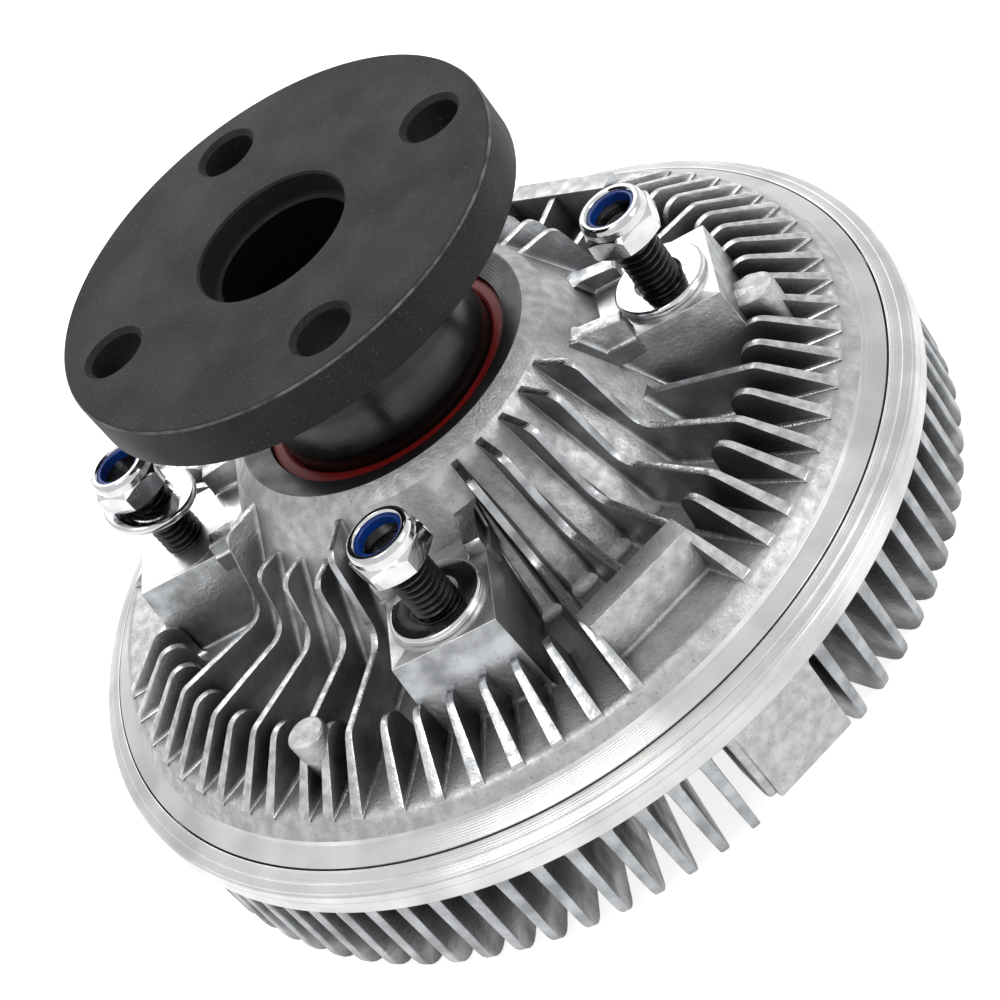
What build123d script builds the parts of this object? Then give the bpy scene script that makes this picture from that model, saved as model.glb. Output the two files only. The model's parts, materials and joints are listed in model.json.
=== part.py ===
from build123d import *
import os

# Viscous fan clutch with a four-bolt drive flange, in millimetres.
# Z runs up the shaft to the flange, z = 0 is the plane of the front fin tips, and the four fan
# studs stand on the X and Y axes. Outlines are half sections on the XZ plane, as (radius, height).

# Fits and draft
running_gap = 0.05
seat_gap = 0.03
end_gap = 0.05
fin_draft = 0.7
boss_draft = 3.0

# Front body: the die-cast shell that carries the rim
front_fin_height = 26.2
rim_height = 8.0
body_radius = 99.4
rim_edge_chamfer = 0.5
rim_shoulder_width = 2.4
rim_shoulder_drop = 2.1
ledge_depth = 5.6
ledge_width = 7.1
chamber_step = 2.1
body_wall = 5.0
body_slope_width = 9.4
bulge_radius = 52.0
bulge_face_depth = 12.5
reservoir_radius = 44.0
reservoir_wall = 4.5

# Front fins and the three lugs between them
front_fin_count = 80
front_fin_phase = 2.1
front_fin_setback = 1.6
front_fin_root_radius = 56.0
front_fin_nose_lean = 4.0
front_fin_nose_rounding = 2.0
front_fin_corner = 5.5
front_fin_root_width = 2.6
front_fin_sink = 2.0
lug_count = 3
lug_phase = -60.5
lug_half_angle = 7.0
lug_width = 21.0
lug_setback = 1.4
lug_depth = 12.0
lug_drop = 17.7
lug_rounding = 1.5
lug_sink = 1.0

# Rear cover: floor, neck and machined lands
cover_edge_gap = 0.3
cover_edge_height = 5.7
cover_land_width = 3.6
cover_land_rise = 1.5
cover_step_rise = 1.3
cover_step_width = 0.7
cover_slope_width = 1.7
chamber_height = 10.6
cover_wall = 3.6
cone_foot_radius = 54.9
cone_foot_rounding = 4.0
cone_top_radius = 37.3
cone_top_drop = 3.0
neck_rise = 34.9
neck_edge_radius = 33.8
neck_face_drop = 2.1
neck_lip_radius = 28.35
neck_lip_height = 5.5
bearing_boss_radius = 36.5
bearing_boss_drop = 3.0
inner_cone_foot_radius = 50.0

# Rear fins: straight radial ribs, low over the floor and stepping up beside the neck
fin_root_width = 2.7
fin_root_sink = 2.0
fin_crest_rise = 10.0
fin_foot_inset = 2.5
fin_foot_rise = 0.5
fin_slope_width = 13.3
short_fin_crest_width = 5.2
fin_nose_rounding = 3.5
fin_step_radius = 51.5
fin_step_lean = 4.7
fin_step_rounding = 4.5
fin_shoulder_drop = 4.3
fin_shoulder_rounding = 3.0
fin_top_drop = 3.5
low_fin_top_drop = 10.5
fin_start_sink = 4.0
full_fin_angles = (-111.8, -70.5, -50.9, -40.5, -30.2, 27.0, 37.3, 47.6, 71.0)
pad_fin_angles = (-60.9, 60.5)
hidden_fin_angles = (113.5, 124.0, 134.5, 145.0, 155.5, 207.5)
low_fin_angles = (-142.0, -131.5, -120.5)
side_fin_angle = -19.5
side_fin_radius = 46.0
short_fin_rows = (
    (-158.0, 10.4, 5),
    (-105.4, 5.75, 6),
    (-45.3, 10.3, 3),
    (-14.5, 5.26, 8),
    (32.2, 10.3, 2),
    (76.5, 5.3, 7),
    (118.7, 10.5, 4),
    (161.0, 5.8, 7),
)

# Stud bosses, pads and pegs on the cover
boss_rise = 19.8
boss_reach = 12.5
boss_width = 25.0
boss_corner = 3.0
boss_sink_radius = 42.0
boss_rib_offset = 10.1
boss_rib_width = 4.0
boss_rib_rise = 6.5
boss_rib_end_radius = 49.5
boss_rib_rounding = 1.5
pad_angles = (-60.5, 59.5)
pad_inset = 16.4
pad_flat_width = 5.3
pad_flat_drop = 0.3
pad_face_lean = 0.7
pad_rise = 10.6
pad_width = 26.6
pad_rounding = 0.8
peg_radius = 4.3
peg_inset = 12.8
peg_draft = 1.0
peg_angle = -119.0
peg_rise = 11.8
long_peg_angle = -3.3
long_peg_length = 12.0

# Fan studs, nuts and washers
stud_count = 4
stud_circle_radius = 58.5
stud_radius = 5.0
stud_depth = 17.5
stud_top_rise = 17.5
nut_flats = 17.0
nut_hex_height = 7.8
nut_collar_radius = 7.9
nut_height = 11.5
nut_gap_rise = 10.7
nut_corner_cut = 1.0
nut_lip_thickness = 0.4
nut_lip_radius = 6.1
insert_radius = 6.5
insert_bore_radius = 4.3
washer_radius = 10.2
washer_bore_radius = 5.3
washer_thickness = 2.0
washer_rounding = 0.5
raised_stud = 2
raised_washer_lift = 8.7
raised_nut_lift = 1.5

# Drive flange and hub
flange_standoff = 29.0
flange_thickness = 10.4
flange_radius = 50.0
flange_chamfer = 0.6
flange_hole_count = 4
flange_hole_phase = 14.4
flange_hole_circle_radius = 38.65
flange_hole_radius = 5.9
flange_hole_chamfer = 1.0
pilot_bore_radius = 17.0
pilot_bore_chamfer = 0.4
pilot_bore_depth = 5.0
core_bore_radius = 15.2
core_bore_depth = 25.0
hub_radius = 25.0
hub_straight_height = 6.5
hub_waist_radius = 24.0
hub_waist_rise = 7.5
hub_flare_radius = 10.0
hub_face_gap = 2.0
shoulder_radius = 18.5

# Bearing: a sealed deep-groove ball bearing
bearing_bore_radius = 15.0
bearing_radius = 31.0
bearing_width = 16.0
bearing_pitch_radius = 23.0
ball_radius = 4.76
ball_count = 9
ball_gap = 0.05
inner_land_radius = 19.8
outer_land_radius = 26.3
cage_inner_radius = 22.1
cage_outer_radius = 23.9
cage_width = 11.6
cage_pocket_gap = 0.12
seal_plate_thickness = 0.8
seal_plate_inset = 0.6
seal_plate_radius = 27.0
seal_plate_bore_gap = 0.1
snap_ring_thickness = 1.6
snap_ring_inner_radius = 28.6
snap_ring_depth = 1.4
snap_ring_groove_depth = 1.6
snap_ring_opening = 8.0

# Neck seal and cover seal
neck_seal_height = 4.8
neck_seal_gap = 0.08
cover_seal_inset = 4.3
cover_seal_width = 2.2
cover_seal_height = 1.7

# Rotor and its nut on the shaft's end
rotor_floor_gap = 0.6
rotor_disc_thickness = 5.0
rotor_edge_gap = 1.0
rotor_rib_gap = 0.7
rib_width = 1.3
first_rib_radius = 59.0
last_rib_inset = 4.5
rotor_rib_count = 6
rotor_hub_radius = 22.0
rotor_hub_relief = 2.0
rotor_hub_rounding = 3.0
rotor_seat_radius = 12.0
rotor_seat_relief = 0.3
rotor_recess_radius = 14.5
flow_hole_count = 6
flow_hole_radius = 4.0
flow_hole_circle_radius = 40.0
thread_radius = 8.0
rotor_nut_inset = 1.4
rotor_nut_flats = 22.0
rotor_nut_height = 6.0
rotor_nut_corner_cut = 0.8
rotor_washer_radius = 13.8
rotor_washer_thickness = 1.5

# Separator plate and its screws
plate_radius = 50.0
plate_thickness = 1.2
plate_gap = 0.2
port_radius = 2.6
port_circle_radius = 38.0
port_angles = (0.0, 180.0)
screw_count = 6
screw_phase = 30.0
screw_circle_radius = 47.0
screw_radius = 1.5
screw_head_radius = 2.7
screw_length = 6.0
screw_slot_width = 0.8
screw_slot_depth = 0.7

# Valve: shaft, arm, seal ring, thermostatic coil and its anchor
valve_shaft_radius = 3.5
valve_neck_radius = 2.5
valve_arm_thickness = 1.0
valve_arm_gap = 0.2
valve_arm_length = 41.5
valve_arm_width = 9.0
valve_arm_hub_radius = 7.0
valve_boss_radius = 9.0
valve_boss_height = 6.0
valve_ring_section = 0.95
valve_ring_groove_rise = 4.2
coil_inner_radius = 5.0
coil_pitch = 2.9
coil_half_turns = 12
coil_thickness = 0.9
coil_width = 6.0
coil_face_gap = 1.0
coil_tab_length = 4.0
coil_slot_gap = 0.05
shaft_tip_rise = 0.2
anchor_length = 7.0
anchor_width = 8.0
anchor_below_coil = 0.5

# Heights worked out from the sizes above
rim_top_z = front_fin_height + rim_height
ledge_z = rim_top_z - ledge_depth
chamber_floor_z = ledge_z - chamber_step
plate_under_z = chamber_floor_z - body_wall
bulge_face_z = plate_under_z - bulge_face_depth
reservoir_floor_z = bulge_face_z + reservoir_wall
cover_edge_z = ledge_z + cover_edge_height
ceiling_z = chamber_floor_z + chamber_height
cover_floor_z = ceiling_z + cover_wall
fin_root_z = cover_floor_z - fin_root_sink
fin_crest_z = cover_floor_z + fin_crest_rise
boss_top_z = cover_floor_z + boss_rise
neck_edge_z = cover_floor_z + neck_rise
low_fin_top_z = neck_edge_z - low_fin_top_drop
fin_step_drop = neck_edge_z - fin_shoulder_drop - fin_crest_z
neck_inner_z = neck_edge_z - neck_face_drop
cone_top_z = neck_edge_z - cone_top_drop
bearing_top_z = neck_inner_z - neck_lip_height
bearing_bottom_z = bearing_top_z - bearing_width
bearing_middle_z = (bearing_top_z + bearing_bottom_z) / 2
bearing_boss_z = bearing_bottom_z - bearing_boss_drop
hub_face_z = bearing_top_z + hub_face_gap
flange_under_z = neck_edge_z + flange_standoff
flange_face_z = flange_under_z + flange_thickness
rotor_under_z = chamber_floor_z + rotor_floor_gap
rotor_disc_z = rotor_under_z + rotor_disc_thickness
rotor_nut_z = rotor_under_z + rotor_nut_inset
rotor_washer_z = rotor_nut_z + rotor_nut_height
rotor_recess_z = rotor_washer_z + rotor_washer_thickness
plate_z = chamber_floor_z - plate_thickness
valve_arm_top_z = plate_z - valve_arm_gap
valve_arm_z = valve_arm_top_z - valve_arm_thickness
coil_top_z = bulge_face_z - coil_face_gap
coil_z = coil_top_z - coil_width
nut_z = boss_top_z + nut_gap_rise

# Radii worked out from the sizes above
cover_edge_radius = body_radius - rim_shoulder_width * 2 - cover_edge_gap
rim_bore_radius = cover_edge_radius + cover_edge_gap
cover_land_radius = cover_edge_radius - cover_land_width
cover_step_radius = cover_land_radius - cover_step_width
cover_slope_radius = cover_step_radius - cover_slope_width
cover_seal_radius = cover_edge_radius - cover_seal_inset
chamber_radius = rim_bore_radius - ledge_width
fin_foot_radius = cover_step_radius - fin_foot_inset
fin_bend_radius = fin_foot_radius - fin_slope_width
fin_nose_radius = fin_bend_radius - short_fin_crest_width
pad_inner_radius = fin_foot_radius - pad_inset
peg_place_radius = fin_foot_radius - peg_inset
long_peg_place_radius = peg_place_radius + peg_radius - long_peg_length / 2
boss_foot_radius = stud_circle_radius + boss_reach
plate_edge_radius = body_radius - body_slope_width
front_fin_outer_radius = body_radius - front_fin_setback
front_fin_inner_radius = front_fin_root_radius + front_fin_nose_lean
lug_face_radius = body_radius - lug_setback
lug_back_radius = lug_face_radius - lug_depth
bearing_seat_radius = bearing_radius + seat_gap
rib_pitch = (chamber_radius - last_rib_inset - first_rib_radius) / rotor_rib_count
rib_radii = [first_rib_radius + rib_pitch * (index + 0.5) for index in range(rotor_rib_count)]
cover_rib_radii = [first_rib_radius + rib_pitch * index for index in range(rotor_rib_count + 1)]


def cone_radius(height):
    """Outer radius of the cover's neck cone at a height."""
    run = (cone_foot_radius - cone_top_radius) / (cone_top_z - cover_floor_z)
    return cone_top_radius + run * (cone_top_z - height)


def body_under_z(radius):
    """Height of the under side of the front body near its rim."""
    rise = (front_fin_height - plate_under_z) / (body_radius - plate_edge_radius)
    return max(plate_under_z, plate_under_z + rise * (radius - plate_edge_radius))


def section(*corners):
    """A closed outline on the XZ plane. A corner is (radius, height) or has a rounding as well."""
    points = [corner[:2] for corner in corners]
    roundings = [corner[2] if len(corner) > 2 else 0 for corner in corners]
    with BuildSketch(Plane.XZ) as outline:
        with BuildLine():
            FilletPolyline(*points, radius=roundings, close=True)
        make_face()
    return outline.sketch


def turned(*corners):
    """The solid that an outline sweeps round the Z axis."""
    profile = section(*corners)
    with BuildPart() as solid:
        add(profile)
        revolve(axis=Axis.Z)
    return solid.part


def cast_rib(corners, width, base_z, draft, rise=1, end_radius=None, corner=0):
    """A rib, boss or pad along +X: its outline from the side, cut to its drafted plan.

    width is measured at base_z, rise is +1 for a rib that grows up and -1 for one that grows down,
    and end_radius with corner gives the plan a rounded outer end.
    """
    profile = section(*corners)
    radii = [point[0] for point in corners]
    heights = [point[1] for point in corners]
    plan_end = end_radius or max(radii) + width
    plan_length = plan_end - min(radii) + width
    plan_plane = Plane(origin=(0, 0, base_z), x_dir=(1, 0, 0), z_dir=(0, 0, rise))
    with BuildPart() as rib:
        extrude(profile, amount=width, both=True)
        with BuildSketch(plan_plane) as plan:
            with Locations((plan_end, 0)):
                Rectangle(plan_length, width, align=(Align.MAX, Align.CENTER))
            if corner:
                fillet(plan.vertices().group_by(Axis.X)[-1], corner)
        extrude(amount=max(heights) - min(heights), taper=draft, mode=Mode.INTERSECT)
    return rib.part


def round_z(*angles):
    """Places that turn a piece about the Z axis by each angle."""
    return Locations(*[Location((0, 0, 0), (0, 0, angle)) for angle in angles])


def even_angles(count, phase=0.0):
    """Angles of a pattern that goes evenly round the axis."""
    return [phase + 360 / count * index for index in range(count)]


def hexagon_nut(flats, corner_cut, base_z, height):
    """A solid hexagon with its corners chamfered at both ends."""
    corner_radius = flats / 3**0.5
    cut_height = corner_cut / 3**0.5
    top_z = base_z + height
    cone = section(
        (0, base_z),
        (corner_radius - corner_cut, base_z),
        (corner_radius, base_z + cut_height),
        (corner_radius, top_z - cut_height),
        (corner_radius - corner_cut, top_z),
        (0, top_z),
    )
    with BuildPart() as nut:
        with BuildSketch(Plane.XY.offset(base_z)):
            RegularPolygon(flats / 2, 6, major_radius=False)
        extrude(amount=height)
        add(cone)
        revolve(axis=Axis.Z, mode=Mode.INTERSECT)
    return nut.part


stud_angles = even_angles(stud_count)
lug_angles = even_angles(lug_count, lug_phase)

# Drive flange with hub and shaft, one forging
with BuildPart() as flange_shaft:
    add(
        section(
            (0, rotor_nut_z),
            (thread_radius, rotor_nut_z),
            (thread_radius, rotor_recess_z + rotor_seat_relief),
            (rotor_seat_radius, rotor_recess_z + rotor_seat_relief),
            (rotor_seat_radius, bearing_bottom_z + rotor_seat_relief),
            (bearing_bore_radius, bearing_bottom_z + rotor_seat_relief),
            (bearing_bore_radius, bearing_top_z),
            (shoulder_radius, bearing_top_z),
            (shoulder_radius, hub_face_z),
            (hub_radius, hub_face_z),
            (hub_radius, hub_face_z + hub_straight_height),
            (hub_waist_radius, hub_face_z + hub_straight_height + hub_waist_rise),
            (hub_waist_radius, flange_under_z, hub_flare_radius),
            (flange_radius - flange_chamfer, flange_under_z),
            (flange_radius, flange_under_z + flange_chamfer),
            (flange_radius, flange_face_z - flange_chamfer),
            (flange_radius - flange_chamfer, flange_face_z),
            (pilot_bore_radius + pilot_bore_chamfer, flange_face_z),
            (pilot_bore_radius, flange_face_z - pilot_bore_chamfer),
            (pilot_bore_radius, flange_face_z - pilot_bore_depth),
            (core_bore_radius, flange_face_z - pilot_bore_depth),
            (core_bore_radius, flange_face_z - core_bore_depth),
            (0, flange_face_z - core_bore_depth),
        )
    )
    revolve(axis=Axis.Z)
    with BuildSketch(Plane.XY.offset(flange_face_z)):
        with PolarLocations(flange_hole_circle_radius, flange_hole_count, flange_hole_phase):
            Circle(flange_hole_radius)
    extrude(amount=-flange_thickness, mode=Mode.SUBTRACT)
    face_circles = flange_shaft.edges().filter_by(GeomType.CIRCLE).group_by(Axis.Z)[-1]
    hole_rims = face_circles.filter_by(lambda edge: abs(edge.radius - flange_hole_radius) < 0.001)
    chamfer(hole_rims, flange_hole_chamfer)
flange_shaft.part.label = "flange_shaft"

# Bearing rings, with a ball groove turned in each
ball_groove_radius = ball_radius + ball_gap
seal_step_z = seal_plate_inset + seal_plate_thickness
with BuildPart() as bearing_inner_ring:
    add(
        section(
            (bearing_bore_radius + seat_gap, bearing_bottom_z),
            (inner_land_radius, bearing_bottom_z),
            (inner_land_radius, bearing_top_z),
            (bearing_bore_radius + seat_gap, bearing_top_z),
        )
    )
    revolve(axis=Axis.Z)
    with BuildSketch(Plane.XZ):
        with Locations((bearing_pitch_radius, bearing_middle_z)):
            Circle(ball_groove_radius)
    revolve(axis=Axis.Z, mode=Mode.SUBTRACT)
bearing_inner_ring.part.label = "bearing_inner_ring"

with BuildPart() as bearing_outer_ring:
    add(
        section(
            (bearing_radius, bearing_bottom_z),
            (bearing_radius, bearing_top_z),
            (seal_plate_radius + seat_gap, bearing_top_z),
            (seal_plate_radius + seat_gap, bearing_top_z - seal_step_z),
            (outer_land_radius, bearing_top_z - seal_step_z),
            (outer_land_radius, bearing_bottom_z + seal_step_z),
            (seal_plate_radius + seat_gap, bearing_bottom_z + seal_step_z),
            (seal_plate_radius + seat_gap, bearing_bottom_z),
        )
    )
    revolve(axis=Axis.Z)
    with BuildSketch(Plane.XZ):
        with Locations((bearing_pitch_radius, bearing_middle_z)):
            Circle(ball_groove_radius)
    revolve(axis=Axis.Z, mode=Mode.SUBTRACT)
bearing_outer_ring.part.label = "bearing_outer_ring"

with BuildPart(Plane.XY.offset(bearing_middle_z)) as bearing_balls:
    with PolarLocations(bearing_pitch_radius, ball_count):
        Sphere(ball_radius)
bearing_balls.part.label = "bearing_balls"

with BuildPart(Plane.XY.offset(bearing_middle_z)) as bearing_cage:
    Cylinder(cage_outer_radius, cage_width)
    Cylinder(cage_inner_radius, cage_width, mode=Mode.SUBTRACT)
    with PolarLocations(bearing_pitch_radius, ball_count):
        pocket_depth = 2 * (cage_outer_radius - cage_inner_radius)
        pocket_radius = ball_radius + cage_pocket_gap
        Cylinder(pocket_radius, pocket_depth, rotation=(0, 90, 0), mode=Mode.SUBTRACT)
bearing_cage.part.label = "bearing_cage"

# Seal plates in the outer ring's two recesses
with BuildPart() as bearing_seal_upper:
    with BuildSketch(Plane.XY.offset(bearing_top_z - seal_step_z)):
        Circle(seal_plate_radius)
        Circle(inner_land_radius + seal_plate_bore_gap, mode=Mode.SUBTRACT)
    extrude(amount=seal_plate_thickness)
bearing_seal_upper.part.label = "bearing_seal_upper"

with BuildPart() as bearing_seal_lower:
    with BuildSketch(Plane.XY.offset(bearing_bottom_z + seal_plate_inset)):
        Circle(seal_plate_radius)
        Circle(inner_land_radius + seal_plate_bore_gap, mode=Mode.SUBTRACT)
    extrude(amount=seal_plate_thickness)
bearing_seal_lower.part.label = "bearing_seal_lower"

# Snap ring under the bearing, open on one side
with BuildPart() as bearing_snap_ring:
    with BuildSketch(Plane.XY.offset(bearing_bottom_z - end_gap - snap_ring_thickness)):
        Circle(bearing_seat_radius + snap_ring_depth)
        Circle(snap_ring_inner_radius, mode=Mode.SUBTRACT)
        with Locations((bearing_seat_radius, 0)):
            Rectangle(2 * snap_ring_opening, snap_ring_opening, mode=Mode.SUBTRACT)
    extrude(amount=snap_ring_thickness)
bearing_snap_ring.part.label = "bearing_snap_ring"

# Red ring that closes the gap between hub and neck
with BuildPart() as neck_seal:
    with BuildSketch(Plane.XY.offset(bearing_top_z)):
        Circle(neck_lip_radius - seat_gap)
        Circle(hub_radius + neck_seal_gap, mode=Mode.SUBTRACT)
    extrude(amount=neck_seal_height)
neck_seal.part.label = "neck_seal"

# Rear fins. Each is a flat rib whose side outline follows the neck cone, steps down and runs out
# level over the floor, then slopes to the rim.
fin_outer_corners = (
    (fin_bend_radius, fin_crest_z, fin_nose_rounding),
    (fin_foot_radius, cover_floor_z + fin_foot_rise),
    (fin_foot_radius - fin_root_sink, fin_root_z),
)
wall_path = (
    (cone_foot_radius + fin_root_sink, fin_root_z),
    (inner_cone_foot_radius, fin_root_z + fin_root_sink),
)
full_fin_start = (
    (cone_radius(boss_top_z) - fin_start_sink, boss_top_z),
    (cone_radius(neck_edge_z - fin_top_drop) - fin_start_sink / 2, neck_edge_z - fin_top_drop),
    (fin_step_radius - fin_step_lean, neck_edge_z - fin_shoulder_drop, fin_shoulder_rounding),
    (fin_step_radius, fin_crest_z, fin_step_rounding),
)
full_fin = cast_rib(
    (*full_fin_start, *fin_outer_corners, *wall_path),
    fin_root_width,
    fin_root_z,
    fin_draft,
)
pad_fin_radius = pad_inner_radius + pad_flat_width / 2
pad_fin = cast_rib(
    (*full_fin_start, (pad_fin_radius, fin_crest_z), (pad_fin_radius, fin_root_z), *wall_path),
    fin_root_width,
    fin_root_z,
    fin_draft,
)
low_fin_shoulder_radius = fin_step_radius - fin_step_lean * (low_fin_top_z - fin_crest_z) / fin_step_drop
low_fin = cast_rib(
    (
        (cone_radius(low_fin_top_z) - fin_start_sink / 2, low_fin_top_z),
        (low_fin_shoulder_radius, low_fin_top_z, fin_shoulder_rounding),
        (fin_step_radius, fin_crest_z, fin_step_rounding),
        *fin_outer_corners,
        *wall_path,
        (cone_radius(boss_top_z) - fin_start_sink, boss_top_z),
    ),
    fin_root_width,
    fin_root_z,
    fin_draft,
)
short_fin = cast_rib(
    ((fin_nose_radius, fin_root_z), (fin_nose_radius, fin_crest_z, fin_nose_rounding), *fin_outer_corners),
    fin_root_width,
    fin_root_z,
    fin_draft,
)
side_fin = cast_rib(
    ((side_fin_radius, fin_crest_z), *fin_outer_corners, *wall_path),
    fin_root_width,
    fin_root_z,
    fin_draft,
)
short_fin_angles = [
    first + pitch * index for first, pitch, count in short_fin_rows for index in range(count)
]

# Stud boss: a square block that runs back into the neck cone, with two ribs behind it
boss = cast_rib(
    (
        (boss_sink_radius, boss_top_z),
        (boss_foot_radius + 1, boss_top_z),
        (boss_foot_radius + 1, fin_root_z),
        *wall_path,
    ),
    boss_width,
    fin_root_z,
    boss_draft,
    end_radius=boss_foot_radius,
    corner=boss_corner,
)
boss_rib = cast_rib(
    (
        (cone_radius(boss_top_z) - fin_start_sink, boss_top_z - fin_start_sink),
        (cone_radius(boss_top_z + boss_rib_rise) - fin_start_sink, boss_top_z + boss_rib_rise),
        (boss_rib_end_radius, boss_top_z + boss_rib_rise, boss_rib_rounding),
        (boss_rib_end_radius, boss_top_z - fin_start_sink),
    ),
    boss_rib_width,
    boss_top_z - fin_start_sink,
    boss_draft,
)

# Pad: a broad low block that bridges two fins, with one fin running into its back
pad_top_z = cover_floor_z + pad_rise
pad_outer_radius = pad_inner_radius + pad_flat_width
pad = cast_rib(
    (
        (pad_inner_radius, fin_root_z),
        (pad_inner_radius, pad_top_z, pad_rounding),
        (pad_outer_radius, pad_top_z - pad_flat_drop, pad_rounding),
        (pad_outer_radius + pad_face_lean, cover_floor_z),
        (pad_outer_radius + pad_face_lean, fin_root_z),
    ),
    pad_width,
    fin_root_z,
    boss_draft,
)

# Rear cover: the finned casting that carries the bearing and the fan studs
snap_groove_top_z = bearing_bottom_z
snap_groove_z = bearing_bottom_z - snap_ring_thickness - 2 * end_gap
with BuildPart() as rear_cover:
    add(
        section(
            (neck_lip_radius, neck_inner_z),
            (neck_edge_radius, neck_edge_z),
            (cone_top_radius, cone_top_z),
            (cone_foot_radius, cover_floor_z, cone_foot_rounding),
            (cover_slope_radius, cover_floor_z),
            (cover_step_radius, cover_edge_z + cover_land_rise + cover_step_rise),
            (cover_land_radius, cover_edge_z + cover_land_rise),
            (cover_edge_radius, cover_edge_z),
            (cover_edge_radius, ledge_z),
            (chamber_radius, ledge_z),
            (chamber_radius, ceiling_z),
            (inner_cone_foot_radius, ceiling_z),
            (bearing_boss_radius, bearing_boss_z),
            (bearing_seat_radius, bearing_boss_z),
            (bearing_seat_radius, snap_groove_z),
            (bearing_seat_radius + snap_ring_groove_depth, snap_groove_z),
            (bearing_seat_radius + snap_ring_groove_depth, snap_groove_top_z),
            (bearing_seat_radius, snap_groove_top_z),
            (bearing_seat_radius, bearing_top_z),
            (neck_lip_radius, bearing_top_z),
        )
    )
    rib_drop = ceiling_z - rotor_disc_z - rotor_rib_gap
    with BuildSketch(Plane.XZ):
        with Locations(*[(radius, ceiling_z - rib_drop / 2) for radius in cover_rib_radii]):
            Rectangle(rib_width, rib_drop)
    revolve(axis=Axis.Z)
    with round_z(*full_fin_angles, *hidden_fin_angles):
        add(full_fin, clean=False)
    with round_z(*pad_fin_angles):
        add(pad_fin, clean=False)
    with round_z(*low_fin_angles):
        add(low_fin, clean=False)
    with round_z(*short_fin_angles):
        add(short_fin, clean=False)
    with round_z(side_fin_angle):
        add(side_fin, clean=False)
    with round_z(*stud_angles):
        add(boss, clean=False)
        with Locations((0, boss_rib_offset, 0), (0, -boss_rib_offset, 0)):
            add(boss_rib, clean=False)
    with round_z(*pad_angles):
        add(pad, clean=False)
    with BuildSketch(Plane.XY.offset(fin_root_z)):
        with PolarLocations(peg_place_radius, 1, peg_angle):
            Circle(peg_radius)
    extrude(amount=peg_rise + fin_root_sink, taper=peg_draft, clean=False)
    with BuildSketch(Plane.XY.offset(fin_root_z)):
        with PolarLocations(long_peg_place_radius, 1, long_peg_angle):
            SlotOverall(long_peg_length, 2 * peg_radius)
    extrude(amount=peg_rise + fin_root_sink, taper=peg_draft, clean=False)
    with BuildSketch(Plane.XY.offset(boss_top_z)):
        with PolarLocations(stud_circle_radius, stud_count):
            Circle(stud_radius + seat_gap)
    extrude(amount=-stud_depth, mode=Mode.SUBTRACT)
rear_cover.part.label = "rear_cover"

# Front fins and lugs
front_fin = cast_rib(
    (
        (front_fin_root_radius, plate_under_z + front_fin_sink),
        (front_fin_root_radius, plate_under_z),
        (front_fin_inner_radius, 0, front_fin_nose_rounding),
        (front_fin_outer_radius, 0, front_fin_corner),
        (front_fin_outer_radius, body_under_z(front_fin_outer_radius) + front_fin_sink),
        (plate_edge_radius, plate_under_z + front_fin_sink),
    ),
    front_fin_root_width,
    front_fin_height + lug_sink,
    fin_draft,
    rise=-1,
)
lug_fin = cast_rib(
    (
        (front_fin_root_radius, plate_under_z + front_fin_sink),
        (front_fin_root_radius, plate_under_z),
        (front_fin_inner_radius, 0, front_fin_nose_rounding),
        (lug_back_radius + front_fin_sink, 0, front_fin_corner),
        (lug_back_radius + front_fin_sink, plate_under_z + front_fin_sink),
    ),
    front_fin_root_width,
    front_fin_height + lug_sink,
    fin_draft,
    rise=-1,
)
lug = cast_rib(
    (
        (lug_back_radius, front_fin_height - lug_drop, lug_rounding),
        (lug_face_radius, front_fin_height - lug_drop, lug_rounding),
        (lug_face_radius, body_under_z(lug_face_radius) + lug_sink),
        (plate_edge_radius, plate_under_z + lug_sink),
        (lug_back_radius, plate_under_z + lug_sink),
    ),
    lug_width,
    front_fin_height,
    fin_draft,
    rise=-1,
)


def lug_distance(angle):
    """Degrees from an angle to the nearest lug."""
    return min(abs((angle - place + 180) % 360 - 180) for place in lug_angles)


front_fin_angles = even_angles(front_fin_count, front_fin_phase)
open_fin_angles = [angle for angle in front_fin_angles if lug_distance(angle) > lug_half_angle]
lug_fin_angles = [angle for angle in front_fin_angles if lug_distance(angle) <= lug_half_angle]

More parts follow.
